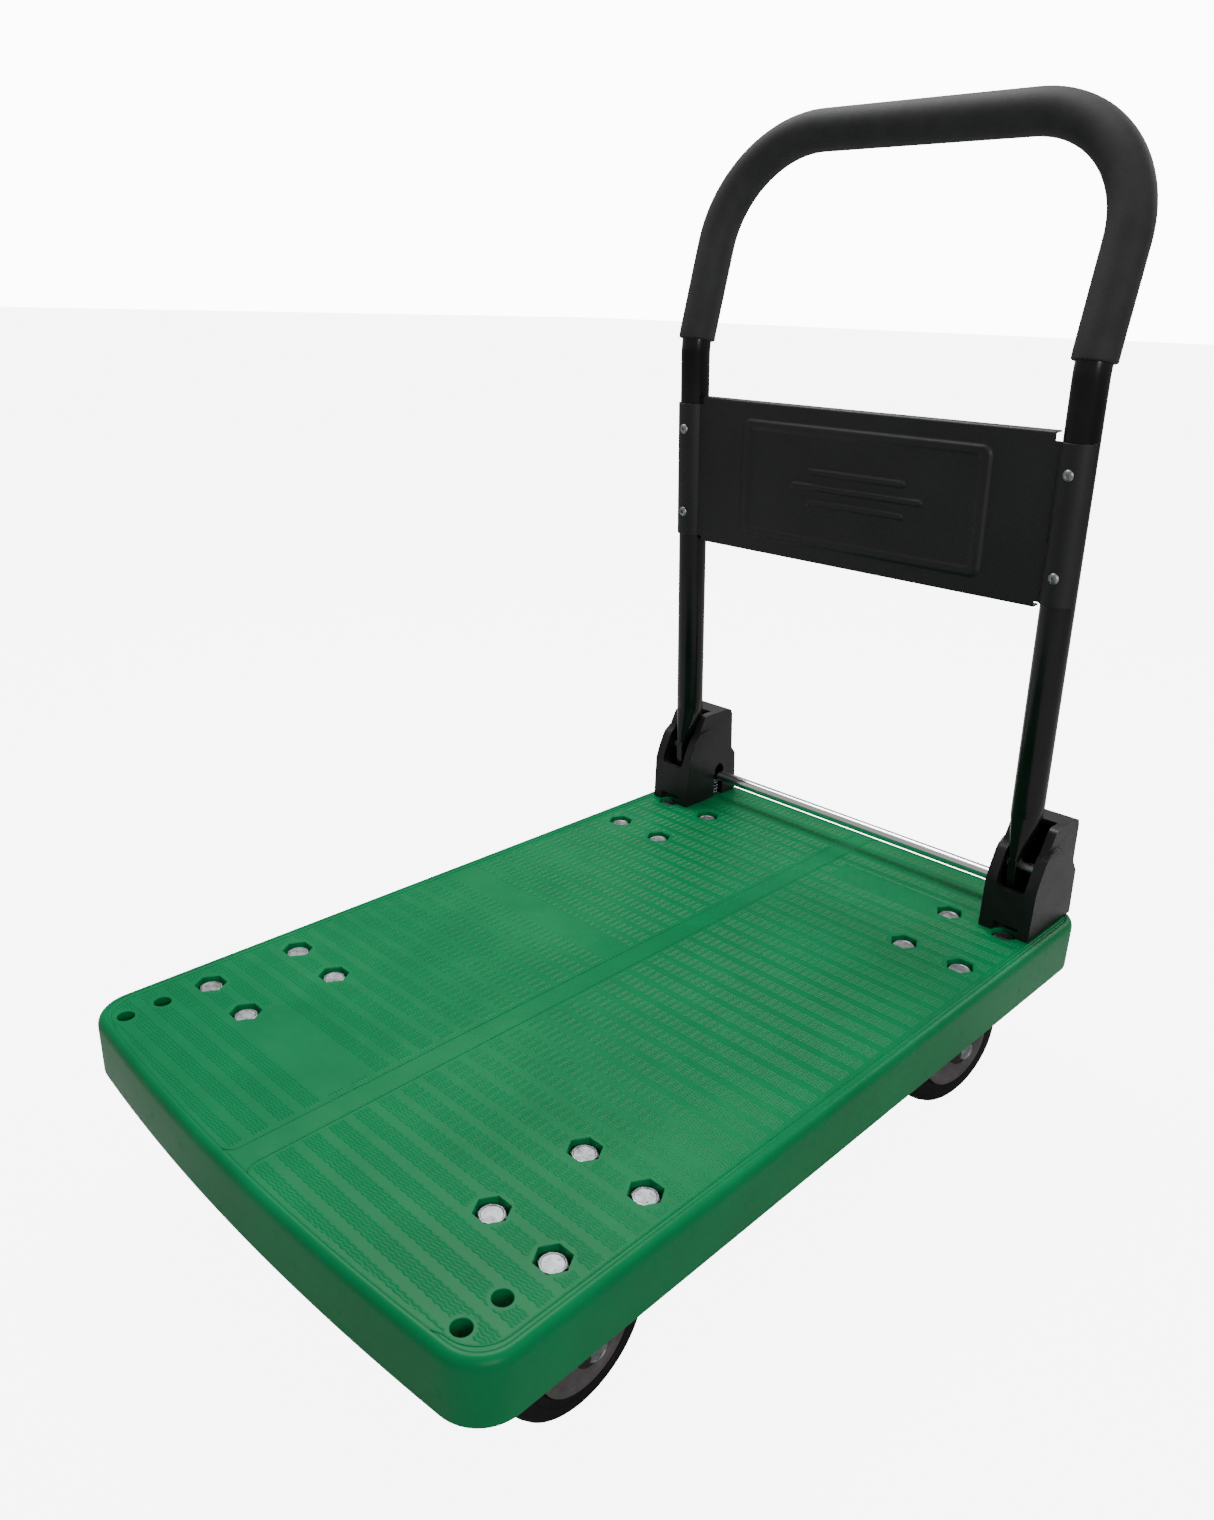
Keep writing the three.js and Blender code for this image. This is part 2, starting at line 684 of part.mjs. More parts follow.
function fixedBracket() {
  const under = CASTER_PLATE_TOP - CASTER_PLATE_THICKNESS + 0.5;
  const pieces = [casterPlate(0)];
  const axleHole = alongX(rod(AXLE_RADIUS + GAP, -40, 40, 12)).translate([0, FRONT_AXLE_SHIFT, WHEEL_RADIUS]);
  for (const side of [-1, 1]) {
    pieces.push(forkLeg(legOutline(FRONT_AXLE_SHIFT, 30, under, 128), side));
  }
  return Manifold.union(pieces).subtract(axleHole);
}

// Swivel parts are made about the kingpin axis
function swivelTop() {
  const plate = casterPlate(-KINGPIN_SHIFT);
  const race = rod(27.5, 140, CASTER_PLATE_TOP - CASTER_PLATE_THICKNESS + 0.5, 24);
  const bore = rod(6 + GAP, 100, 200, 14);
  return plate.add(race).subtract(bore);
}

function swivelFork() {
  const crown = rod(30, 131.5, 139.7, 24);
  const bridge = box(-LEG_INNER - LEG_THICKNESS, LEG_INNER + LEG_THICKNESS, -24, 24, 131.5, 135);
  const pieces = [crown, bridge];
  for (const side of [-1, 1]) {
    pieces.push(forkLeg(legOutline(SWIVEL_TRAIL, 24, 135, 124), side));
  }
  const axleHole = alongX(rod(AXLE_RADIUS + GAP, -40, 40, 12)).translate([0, SWIVEL_TRAIL, WHEEL_RADIUS]);
  const bore = rod(6 + GAP, 100, 200, 14);
  return Manifold.union(pieces).subtract(axleHole).subtract(bore);
}

function kingpin() {
  const shank = rod(6, 128.4, CASTER_PLATE_TOP - 0.4, 14);
  const foot = rod(10, 128, 131.2, 14);
  return shank.add(foot);
}

function deckBolt() {
  const headBottom = DECK_TOP - BOLT_POCKET_DEPTH + GAP;
  const head = hexagon(BOLT_HEAD_FLATS, headBottom, headBottom + BOLT_HEAD_HEIGHT);
  const plateBottom = CASTER_PLATE_TOP - CASTER_PLATE_THICKNESS;
  const shank = rod(BOLT_RADIUS, plateBottom - 9.5, headBottom + 1, 8);
  const nut = hexagon(BOLT_HEAD_FLATS, plateBottom - 8, plateBottom - GAP);
  return Manifold.union([head, shank, nut]);
}

function blockScrew() {
  const head = hexagon(16, 144, 150 - GAP);
  const shank = rod(5, 149, SCREW_TOP, 14);
  return head.add(shank);
}

// Colours
const GREEN = 0x0c8a4c;
const BLACK_PLASTIC = 0x17181a;
const BLACK_PAINT = 0x0b0b0c;
const PANEL_PAINT = 0x1c1d1f;
const FOAM = 0x2b2c2e;
const ZINC = 0xc9ccd0;
const CHROME = 0xe6e8ea;
const CORE_GREY = 0x4b474c;
const TYRE_BLACK = 0x111112;
const FORK_BLACK = 0x1d1b1a;

addPart("deck", buildDeck(), GREEN, 0, 0.42);
for (const [hand, side] of [["left", -1], ["right", 1]]) {
  addPart(`hinge_block_${hand}`, buildBlock(side), BLACK_PLASTIC, 0, 0.55);
  addPart(`pivot_pin_${hand}`, buildPivotPin(side), ZINC, 0.9, 0.35);
  addPart(`handle_blade_${hand}`, buildBlade(side), BLACK_PAINT, 0.2, 0.3);
  addPart(`bar_spring_${hand}`, buildBarSpring(side), ZINC, 0.9, 0.3);
  RIVET_HEIGHTS.forEach((height, row) => {
    const level = row === 0 ? "low" : "high";
    addPart(`panel_rivet_${hand}_${level}`, buildRivet(side, height), ZINC, 0.9, 0.3);
  });
  blockScrewPlaces.forEach((y, row) => {
    const end = row === 0 ? "rear" : "front";
    const screw = blockScrew().translate([side * CORNER_HOLE_X, y, 0]);
    addPart(`block_screw_${hand}_${end}`, screw, ZINC, 0.9, 0.35);
  });
}
const tube = pipe(new HandlePath(TUBE_START), TUBE_RADIUS, TUBE_BORE, 16, 10);
const grip = pipe(new HandlePath(GRIP_START), GRIP_RADIUS, TUBE_RADIUS + 0.6, 16, 16);
addPart("handle_tube", place(tube), BLACK_PAINT, 0.2, 0.28);
addPart("handle_grip", place(grip), FOAM, 0, 0.9);
addPart("handle_panel", buildPanel(), PANEL_PAINT, 0.1, 0.6);
addPart("release_bar", buildReleaseBar(), CHROME, 1, 0.15);

for (const caster of casterCentres()) {
  const { end, hand, side, x, y } = caster;
  const tag = `${end}_${hand}`;
  const bolts = boltPlaces(caster);
  bolts.forEach(([boltX, boltY], index) => {
    addPart(`deck_bolt_${tag}_${index + 1}`, deckBolt().translate([boltX, boltY, 0]), ZINC, 0.9, 0.35);
  });
  // The rear forks rest turned a little inward at the front, each about its own kingpin
  let turn = 0;
  let centre = [x, y, 0];
  let wheelAt = [0, FRONT_AXLE_SHIFT, WHEEL_RADIUS];
  if (end === "front") {
    addPart(`caster_bracket_${hand}`, fixedBracket().translate(centre), FORK_BLACK, 0.4, 0.45);
  } else {
    turn = -side * SWIVEL_REST_ANGLE;
    centre = [x, y + KINGPIN_SHIFT, 0];
    wheelAt = [0, SWIVEL_TRAIL, WHEEL_RADIUS];
    const fork = swivelFork().rotate([0, 0, turn]).translate(centre);
    addPart(`swivel_plate_${hand}`, swivelTop().translate(centre), FORK_BLACK, 0.4, 0.45);
    addPart(`swivel_fork_${hand}`, fork, FORK_BLACK, 0.4, 0.45);
    addPart(`kingpin_${hand}`, kingpin().translate(centre), ZINC, 0.9, 0.35);
  }
  const settle = (solid) => solid.translate(wheelAt).rotate([0, 0, turn]).translate(centre);
  addPart(`wheel_core_${tag}`, settle(wheelCore()), CORE_GREY, 0, 0.5);
  addPart(`tyre_${tag}`, settle(tyreRing()), TYRE_BLACK, 0, 0.7);
  addPart(`axle_bolt_${tag}`, settle(axleBolt(side)), ZINC, 0.9, 0.3);
}

export default group;
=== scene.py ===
"""Folding platform cart: the visual model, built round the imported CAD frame.

Shapes are worked out in millimetres in the frame's own axes: +Z up, +Y towards the handle, +X across
the width, origin on the floor under the middle of the deck.
"""
import math

import bpy
import bmesh
import numpy as np
from mathutils import Matrix, Vector


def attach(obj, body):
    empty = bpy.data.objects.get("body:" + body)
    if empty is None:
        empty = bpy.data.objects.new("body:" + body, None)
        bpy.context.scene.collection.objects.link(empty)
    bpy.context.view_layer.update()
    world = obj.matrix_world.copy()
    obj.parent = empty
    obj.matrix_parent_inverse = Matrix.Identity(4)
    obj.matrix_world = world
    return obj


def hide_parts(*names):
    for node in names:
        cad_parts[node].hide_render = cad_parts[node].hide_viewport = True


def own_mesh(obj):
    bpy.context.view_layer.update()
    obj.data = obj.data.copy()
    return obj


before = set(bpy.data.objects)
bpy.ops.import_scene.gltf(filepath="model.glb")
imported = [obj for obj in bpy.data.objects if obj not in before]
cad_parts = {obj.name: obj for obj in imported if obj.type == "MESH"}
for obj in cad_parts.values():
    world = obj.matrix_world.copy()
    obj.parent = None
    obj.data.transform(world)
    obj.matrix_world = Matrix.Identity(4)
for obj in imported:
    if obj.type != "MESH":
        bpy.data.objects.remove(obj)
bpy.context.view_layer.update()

MM = 0.001
SIDES = (("left", -1), ("right", 1))
ENDS = ("front", "rear")

# Deck
DECK_HALF_WIDTH = 237.5
DECK_HALF_LENGTH = 375.0
DECK_TOP = 168.0
DECK_BOTTOM = 120.0
CORNER_RADIUS = 33.0
BOW_RADIUS = 2150.0
EDGE_RADIUS = 8.0
WALL = 5.0
CEILING = 162.0
TREAD_BASE = DECK_TOP - 0.4
PAD_TOP = CEILING + 0.5
CASTER_PAD_BOTTOM = 152.3
END_PAD_BOTTOM = 150.0
RIB_BOTTOM = 138.0
LOW_RIB_BOTTOM = 143.0

# Fixings
CASTER_X = 175.0
CASTER_Y = {"front": -236.0, "rear": 242.5}
BOLT_X = 27.5
BOLT_Y = 40.0
POCKET_FLOOR = 158.0
POCKET_FLATS = 21.5
BOLT_FLATS = 17.0
BOLT_RADIUS = 5.0
HOLE_RADIUS = 6.5
HOLE_X = 204.0
HOLE_YS = (345.6, 316.1)

# Handle
BLOCK_X = 201.3
PIVOT_Y = 304.0
PIVOT_Z = 228.0
POST_X = 196.7
LEAN = math.radians(3.45)
LOOP_LEAN = math.radians(14.3)
BEND_AT = 428.8
BEND_RADIUS = 80.0
LOOP_HEIGHT = 187.4
LOOP_CORNER = 97.5
TUBE_RADIUS = 14.0
TUBE_BORE = 12.4
TUBE_START = 50.0
GRIP_RADIUS = 17.5
GRIP_BORE = 14.3
GRIP_START = 431.0

# Release bar
BAR_Y = 336.0
BAR_Z = 193.0
BAR_HALF_LENGTH = 207.0
BAR_RADIUS = 6.0
BAR_NECK_RADIUS = 4.6
SPRING_X = 183.0
SPRING_LOW = 168.3
SPRING_HIGH = 188.1
SPRING_TURNS = 5.5
SPRING_RADIUS = 3.4
WIRE_RADIUS = 0.6

# Wheels
WHEEL_RADIUS = 62.5
HANG_Y = {"front": -234.0, "rear": 230.5}  # the front axle and the rear kingpin
TRAIL = 14.0
REST_ANGLE = 10.0
AXLE_FLATS = 15.0
AXLE_RADIUS = 6.0
LEG_FACE = 23.2


# ---------------------------------------------------------------- meshes
def make_mesh(name, points, faces):
    """A mesh from points in millimetres and faces with the same number of corners each."""
    mesh = bpy.data.meshes.new(name)
    faces = np.asarray(faces, dtype=np.int32)
    mesh.vertices.add(len(points))
    mesh.vertices.foreach_set("co", (np.asarray(points, dtype=float) * MM).ravel())
    mesh.loops.add(faces.size)
    mesh.loops.foreach_set("vertex_index", faces.ravel())
    mesh.polygons.add(len(faces))
    mesh.polygons.foreach_set("loop_start", np.arange(len(faces), dtype=np.int32) * faces.shape[1])
    mesh.update(calc_edges=True)
    mesh.validate()
    return mesh


def grid_faces(rows, columns, wrap_rows=False, wrap_columns=False):
    """Quads between neighbouring points of a grid, numbered row by row."""
    row = np.arange(rows if wrap_rows else rows - 1)[:, None]
    column = np.arange(columns if wrap_columns else columns - 1)[None, :]
    next_row = (row + 1) % rows
    next_column = (column + 1) % columns
    corners = (
        row * columns + column,
        row * columns + next_column,
        next_row * columns + next_column,
        next_row * columns + column,
    )
    return np.stack(np.broadcast_arrays(*corners), axis=-1).reshape(-1, 4)


def clean(mesh):
    """Welds seams and poles and points the faces outwards."""
    work = bmesh.new()
    work.from_mesh(mesh)
    bmesh.ops.remove_doubles(work, verts=work.verts, dist=1e-6)
    bmesh.ops.dissolve_degenerate(work, edges=work.edges, dist=1e-7)
    bmesh.ops.recalc_face_normals(work, faces=work.faces)
    work.to_mesh(mesh)
    work.free()
    return mesh


def join_meshes(name, meshes):
    """One mesh that holds several."""
    work = bmesh.new()
    for mesh in meshes:
        work.from_mesh(mesh)
    joined = bpy.data.meshes.new(name)
    work.to_mesh(joined)
    work.free()
    return joined


def show(name, mesh, material, body, stands_for=(), sharp=35.0, bevel=0.0):
    """Puts a finished mesh in the scene on its CAD body, smooth but for edges sharper than that angle."""
    mesh.materials.clear()
    mesh.materials.append(material)
    mesh.polygons.foreach_set("use_smooth", np.ones(len(mesh.polygons), dtype=bool))
    mesh.set_sharp_from_angle(angle=math.radians(sharp))
    piece = bpy.data.objects.new(name, mesh)
    bpy.context.scene.collection.objects.link(piece)
    if bevel:
        add_bevel(piece, bevel)
    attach(piece, body)
    if stands_for:
        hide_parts(*stands_for)
    return piece


def add_bevel(piece, width):
    """Rounds the sharp edges by that width in millimetres."""
    modifier = piece.modifiers.new("rounded edges", "BEVEL")
    modifier.width = width * MM
    modifier.segments = 3
    modifier.limit_method = "ANGLE"
    modifier.angle_limit = math.radians(32)
    modifier.use_clamp_overlap = True
    modifier.harden_normals = False


def merged_copy(node):
    """The CAD node's own shape with its loose triangles welded."""
    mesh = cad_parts[node].data.copy()
    work = bmesh.new()
    work.from_mesh(mesh)
    bmesh.ops.remove_doubles(work, verts=work.verts, dist=2e-6)
    bmesh.ops.dissolve_limit(
        work, angle_limit=math.radians(1.5), verts=work.verts, edges=work.edges
    )
    work.to_mesh(mesh)
    work.free()
    return mesh


def from_cad(node, material, body, bevel=0.6, sharp=35.0):
    """The CAD node as it is, with rounded edges."""
    return show(node + "_skin", merged_copy(node), material, body, [node], sharp, bevel)


# ---------------------------------------------------------------- shapes
def turned(profile, centre, axis="x", steps=64):
    """A profile of (radius, distance along the axis) turned once round the axis through centre."""
    radius, along_axis = np.asarray(profile, dtype=float).T
    angle = np.linspace(0, 2 * np.pi, steps, endpoint=False)[:, None]
    first = radius * np.cos(angle)
    second = radius * np.sin(angle)
    third = np.broadcast_to(along_axis, first.shape)
    order = {"x": (third, first, second), "y": (second, third, first), "z": (first, second, third)}
    points = np.stack(order[axis], axis=-1).reshape(-1, 3) + np.asarray(centre, dtype=float)
    faces = grid_faces(steps, len(profile), wrap_rows=True)
    return clean(make_mesh("turned", points, faces))


def carried(path, outline, scale=None, closed=False):
    """A flat outline carried along a path; the frame turns with the path and never twists."""
    path = np.asarray(path, dtype=float)
    if closed:
        tangent = np.roll(path, -1, axis=0) - np.roll(path, 1, axis=0)
    else:
        tangent = np.gradient(path, axis=0)
    tangent /= np.linalg.norm(tangent, axis=1)[:, None]
    side = np.cross(tangent[0], (0.0, 0.0, 1.0))
    if np.linalg.norm(side) < 0.2:
        side = np.array((1.0, 0.0, 0.0))
    sides = []
    for direction in tangent:
        side = side - direction * side.dot(direction)
        side = side / np.linalg.norm(side)
        sides.append(side)
    sides = np.array(sides)
    ups = np.cross(tangent, sides)
    outline = np.asarray(outline, dtype=float)
    size = np.ones(len(path)) if scale is None else np.asarray(scale, dtype=float)
    points = (
        path[:, None, :]
        + sides[:, None, :] * (outline[None, :, 0:1] * size[:, None, None])
        + ups[:, None, :] * (outline[None, :, 1:2] * size[:, None, None])
    )
    faces = grid_faces(len(path), len(outline), wrap_rows=closed, wrap_columns=True)
    return clean(make_mesh("carried", points.reshape(-1, 3), faces))


def ring(radius, steps=32):
    """Points round a circle."""
    angle = np.linspace(0, 2 * np.pi, steps, endpoint=False)
    return np.stack((radius * np.cos(angle), radius * np.sin(angle)), axis=-1)


def pushed(outline, low, high, along="z"):
    """A closed flat outline pushed from low to high along an axis, with flat ends."""
    outline = np.asarray(outline, dtype=float)
    count = len(outline)
    points = []
    for level in (low, high):
        third = np.full(count, float(level))
        order = {
            "x": (third, outline[:, 0], outline[:, 1]),
            "y": (outline[:, 0], third, outline[:, 1]),
            "z": (outline[:, 0], outline[:, 1], third),
        }
        points.append(np.stack(order[along], axis=-1))
    points = np.concatenate(points)
    mesh = bpy.data.meshes.new("pushed")
    side = [(k, (k + 1) % count, count + (k + 1) % count, count + k) for k in range(count)]
    caps = [tuple(range(count))[::-1], tuple(range(count, 2 * count))]
    mesh.from_pydata((points * MM).tolist(), [], side + caps)
    return clean(mesh)


def block(x0, x1, y0, y1, z0, z1):
    """A plain box."""
    return pushed([(x0, y0), (x1, y0), (x1, y1), (x0, y1)], z0, z1)


def moved(mesh, turn=0.0, shift=(0, 0, 0)):
    """A mesh leaned by an angle about X through the origin, then shifted, in millimetres."""
    count = len(mesh.vertices)
    points = np.empty(count * 3)
    mesh.vertices.foreach_get("co", points)
    points = points.reshape(-1, 3) / MM
    y = points[:, 1] * math.cos(turn) - points[:, 2] * math.sin(turn)
    z = points[:, 1] * math.sin(turn) + points[:, 2] * math.cos(turn)
    points = np.stack((points[:, 0], y, z), axis=-1) + np.asarray(shift, dtype=float)
    mesh.vertices.foreach_set("co", (points * MM).ravel())
    mesh.update()
    return mesh


def on_handle(mesh):
    """Handle shapes are made upright from the pivot, then leaned forward with the posts."""
    return moved(mesh, LEAN, (0, PIVOT_Y, PIVOT_Z))


def mirrored(mesh):
    """The same shape on the other side of the middle plane."""
    copy = mesh.copy()
    work = bmesh.new()
    work.from_mesh(copy)
    for vertex in work.verts:
        vertex.co.x = -vertex.co.x
    bmesh.ops.reverse_faces(work, faces=work.faces)
    work.to_mesh(copy)
    work.free()
    return copy


def hexagon(flats, centre=(0, 0)):
    """Six corners with that distance across the flats."""
    angle = np.arange(6) * np.pi / 3
    reach = flats / math.sqrt(3)
    return np.stack((centre[0] + reach * np.cos(angle), centre[1] + reach * np.sin(angle)), axis=-1)


def cut(mesh, cutters):
    """Takes the cutters away from a closed mesh."""
    body = bpy.data.objects.new("being cut", mesh)
    tool = bpy.data.objects.new("cutter", join_meshes("cutters", cutters))
    for item in (body, tool):
        bpy.context.scene.collection.objects.link(item)
    modifier = body.modifiers.new("cut", "BOOLEAN")
    modifier.operation = "DIFFERENCE"
    modifier.solver = "EXACT"
    modifier.object = tool
    modifier.use_self = True
    graph = bpy.context.evaluated_depsgraph_get()
    result = bpy.data.meshes.new_from_object(body.evaluated_get(graph))
    for item in (body, tool):
        bpy.data.objects.remove(item)
    return result


# ---------------------------------------------------------------- materials
class Wire:
    """A node socket that can be added and multiplied in plain expressions."""

    def __init__(self, tree, socket):
        self.tree = tree
        self.socket = socket

    def node(self, kind, settings=None, inputs=None, output=0):
        """A new node of that kind, with settings made before its sockets are given values or links."""
        made = self.tree.nodes.new(kind)
        for key, value in (settings or {}).items():
            setattr(made, key, value)
        for key, value in (inputs or {}).items():
            if isinstance(value, Wire):
                self.tree.links.new(value.socket, made.inputs[key])
            else:
                made.inputs[key].default_value = value
        return Wire(self.tree, made.outputs[output])

    def maths(self, operation, *values):
        return self.node("ShaderNodeMath", {"operation": operation}, dict(enumerate(values)))

    def __add__(self, other):
        return self.maths("ADD", self, other)

    __radd__ = __add__

    def __mul__(self, other):
        return self.maths("MULTIPLY", self, other)

    __rmul__ = __mul__

    def noise(self, scale, detail=3.0, rough=0.5):
        return self.node(
            "ShaderNodeTexNoise", {}, {"Vector": self, "Scale": scale, "Detail": detail, "Roughness": rough}
        )

    def between(self, low, high):
        """0 below low, 1 above high."""
        return self.node(
            "ShaderNodeMapRange",
            {"clamp": True},
            {"Value": self, "From Min": low, "From Max": high, "To Min": 0.0, "To Max": 1.0},
        )

    def tint(self, first, second):
        """A colour from first to second as this value runs from 0 to 1."""
        return self.node(
            "ShaderNodeMix",
            {"data_type": "RGBA"},
            {0: self, 6: (*first, 1.0), 7: (*second, 1.0)},
            output=2,
        )


def finish_material(name, build, **fixed):
    """A principled material; build gets the object coordinates and returns what varies over the surface."""
    material = bpy.data.materials.new(name)
    material.use_nodes = True
    tree = material.node_tree
    shader = tree.nodes["Principled BSDF"]
    for key, value in fixed.items():
        shader.inputs[key.replace("_", " ")].default_value = value
    place = tree.nodes.new("ShaderNodeTexCoord")
    varying = build(Wire(tree, place.outputs["Object"]))
    for key, value in varying.items():
        if key == "Bump":
            height, strength, distance = value
            bump = height.node(
                "ShaderNodeBump", {}, {"Strength": strength, "Distance": distance, "Height": height}
            )
            tree.links.new(bump.socket, shader.inputs["Normal"])
        else:
            tree.links.new(value.socket, shader.inputs[key])
    return material


def deck_plastic(at):
    """Glossy green plastic with faint flow marks, dusty scuffs and a fine moulded grain."""
    flow = at.noise(9.0, 4.0, 0.6)
    scuff = at.noise(60.0, 6.0, 0.65).between(0.58, 0.72)
    grain = at.noise(1400.0, 2.0)
    ripple = at.noise(38.0, 3.0, 0.55)
    return {
        "Base Color": (flow.between(0.35, 0.68) * 0.8 + scuff * 0.2).tint(
            (0.0001, 0.122, 0.037), (0.0004, 0.160, 0.051)
        ),
        "Roughness": 0.32 + flow * 0.14 + scuff * 0.14,
        "Bump": (ripple * 0.8 + grain * 0.12, 0.16, 0.0006),
    }


def black_plastic(at):
    """Satin black plastic with a fine spark-eroded grain."""
    grain = at.noise(1500.0, 2.0)
    cloud = at.noise(30.0, 3.0)
    return {
        "Base Color": cloud.between(0.3, 0.7).tint((0.003, 0.003, 0.0033), (0.007, 0.007, 0.0075)),
        "Roughness": 0.36 + cloud * 0.16,
        "Bump": (grain, 0.25, 0.0002),
    }


def gloss_paint(at):
    """Gloss black paint with slight orange peel."""
    peel = at.noise(420.0, 2.0)
    cloud = at.noise(22.0, 3.0)
    return {
        "Base Color": cloud.between(0.3, 0.7).tint((0.002, 0.002, 0.0022), (0.005, 0.005, 0.0055)),
        "Roughness": 0.14 + cloud * 0.12,
        "Bump": (peel, 0.10, 0.0002),
    }


def powder_coat(at):
    """Black powder coat with a fine leathery texture."""
    grain = at.noise(900.0, 3.0, 0.6)
    cloud = at.noise(14.0, 3.0)
    return {
        "Base Color": cloud.between(0.3, 0.7).tint((0.004, 0.004, 0.0042), (0.008, 0.008, 0.0083)),
        "Roughness": 0.38 + grain * 0.22,
        "Bump": (grain, 0.45, 0.0003),
    }


def foam(at):
    """Closed-cell foam: matte dark grey with tiny cells and soft lengthwise marks."""
    cell = at.noise(1900.0, 2.0, 0.6)
    cloud = at.noise(45.0, 4.0, 0.6)
    return {
        "Base Color": (cloud.between(0.3, 0.7) * 0.7 + cell.between(0.4, 0.7) * 0.3).tint(
            (0.012, 0.012, 0.0125), (0.024, 0.024, 0.0245)
        ),
        "Roughness": 0.62 + cell * 0.2,
        "Bump": (cell, 0.35, 0.0003),
    }


def zinc_plate(at):
    """Bright zinc with crystal patches and light scratches."""
    patch = at.node("ShaderNodeTexVoronoi", {}, {"Vector": at, "Scale": 420.0}, output=0)
    cloud = at.noise(160.0, 4.0, 0.6)
    return {
        "Base Color": cloud.between(0.25, 0.75).tint((0.13, 0.135, 0.14), (0.40, 0.41, 0.42)),
        "Roughness": 0.34 + cloud * 0.22,
        "Bump": (patch * 0.5 + cloud, 0.3, 0.0003),
    }


def polished_chrome(at):
    """Polished bar with faint drawing lines along it."""
    stretch = at.node("ShaderNodeMapping", {}, {"Vector": at, "Scale": (4.0, 900.0, 900.0)})
    line = stretch.noise(1.0, 3.0)
    return {
        "Base Color": line.between(0.3, 0.7).tint((0.66, 0.67, 0.68), (0.82, 0.82, 0.83)),
        "Roughness": 0.08 + line * 0.14,
        "Bump": (line, 0.08, 0.0002),
    }


def spring_wire(at):
    """Dark drawn spring wire."""
    cloud = at.noise(500.0, 3.0)
    return {
        "Base Color": cloud.between(0.3, 0.7).tint((0.22, 0.22, 0.23), (0.42, 0.42, 0.43)),
        "Roughness": 0.28 + cloud * 0.2,
    }


def fork_paint(at):
    """Semi-gloss black paint over pressed steel, a little dusty; its brown cast is painted reflection of
    the floor light.
    """
    dust = at.noise(70.0, 5.0, 0.65)
    peel = at.noise(600.0, 2.0)
    return {
        # Both colours carry a brown cast that is painted reflection; the lighter colour is dust.
        "Base Color": dust.between(0.45, 0.8).tint((0.006, 0.005, 0.0045), (0.020, 0.017, 0.015)),
        "Roughness": 0.26 + dust * 0.3,
        "Bump": (peel, 0.2, 0.0002),
    }


def hub_plastic(at):
    """Dark purplish grey moulded hub."""
    cloud = at.noise(80.0, 4.0, 0.6)
    grain = at.noise(1500.0, 2.0)
    return {
        "Base Color": cloud.between(0.3, 0.7).tint((0.050, 0.043, 0.045), (0.080, 0.071, 0.072)),
        "Roughness": 0.42 + cloud * 0.18,
        "Bump": (grain, 0.3, 0.0002),
    }


def tyre_rubber(at):
    """Black rubber, duller where it is dusty."""
    dust = at.noise(110.0, 5.0, 0.65)
    return {
        "Base Color": dust.between(0.5, 0.85).tint((0.002, 0.002, 0.0022), (0.009, 0.0088, 0.009)),
        "Roughness": 0.46 + dust * 0.3,
        "Bump": (dust, 0.25, 0.0003),
    }


GREEN = finish_material("deck green plastic", deck_plastic, Metallic=0.0, Specular_IOR_Level=0.10)
PLASTIC = finish_material("block black plastic", black_plastic, Metallic=0.0, Specular_IOR_Level=0.34)
PAINT = finish_material("handle gloss paint", gloss_paint, Metallic=0.0, Specular_IOR_Level=0.3)
POWDER = finish_material("panel powder coat", powder_coat, Metallic=0.0, Specular_IOR_Level=0.38)
FOAM = finish_material("grip foam", foam, Metallic=0.0, Specular_IOR_Level=0.32)
ZINC = finish_material("zinc plate", zinc_plate, Metallic=1.0)
CHROME = finish_material("bar chrome", polished_chrome, Metallic=1.0)
WIRE = finish_material("spring wire", spring_wire, Metallic=1.0)
FORK = finish_material("fork paint", fork_paint, Metallic=0.0, Specular_IOR_Level=0.25)
HUB = finish_material("hub plastic", hub_plastic, Metallic=0.0, Specular_IOR_Level=0.35)
RUBBER = finish_material("tyre rubber", tyre_rubber, Metallic=0.0, Specular_IOR_Level=0.2)


# ---------------------------------------------------------------- deck
def deck_edge(inset=0.0):
    """Outline of the deck, anticlockwise, moved in by inset.

    The front is an arc of BOW_RADIUS, the corners are arcs of CORNER_RADIUS and the rest is straight.
    """
    reach = DECK_HALF_WIDTH - CORNER_RADIUS
    slope = math.asin(reach / (BOW_RADIUS - CORNER_RADIUS))
    end = BOW_RADIUS * math.sin(slope)
    across = np.linspace(-end, end, 49)
    bow = np.stack((across, BOW_RADIUS - np.sqrt(BOW_RADIUS**2 - across**2) - DECK_HALF_LENGTH), axis=-1)
    bow_out = np.stack((across, -np.sqrt(BOW_RADIUS**2 - across**2)), axis=-1) / BOW_RADIUS
    parts = [(bow, bow_out)]
    front_y = BOW_RADIUS - DECK_HALF_LENGTH - (BOW_RADIUS - CORNER_RADIUS) * math.cos(slope)
    rear_y = DECK_HALF_LENGTH - CORNER_RADIUS
    corners = (
        (reach, front_y, -math.pi / 2 + slope, 0.0),
        (reach, rear_y, 0.0, math.pi / 2),
        (-reach, rear_y, math.pi / 2, math.pi),
        (-reach, front_y, math.pi, 1.5 * math.pi - slope),
    )
    for x, y, start, end in corners:
        angle = np.linspace(start, end, 17)
        out = np.stack((np.cos(angle), np.sin(angle)), axis=-1)
        parts.append((np.array((x, y)) + CORNER_RADIUS * out, out))
    points = np.concatenate([part[0] for part in parts])
    out = np.concatenate([part[1] for part in parts])
    return points - out * inset


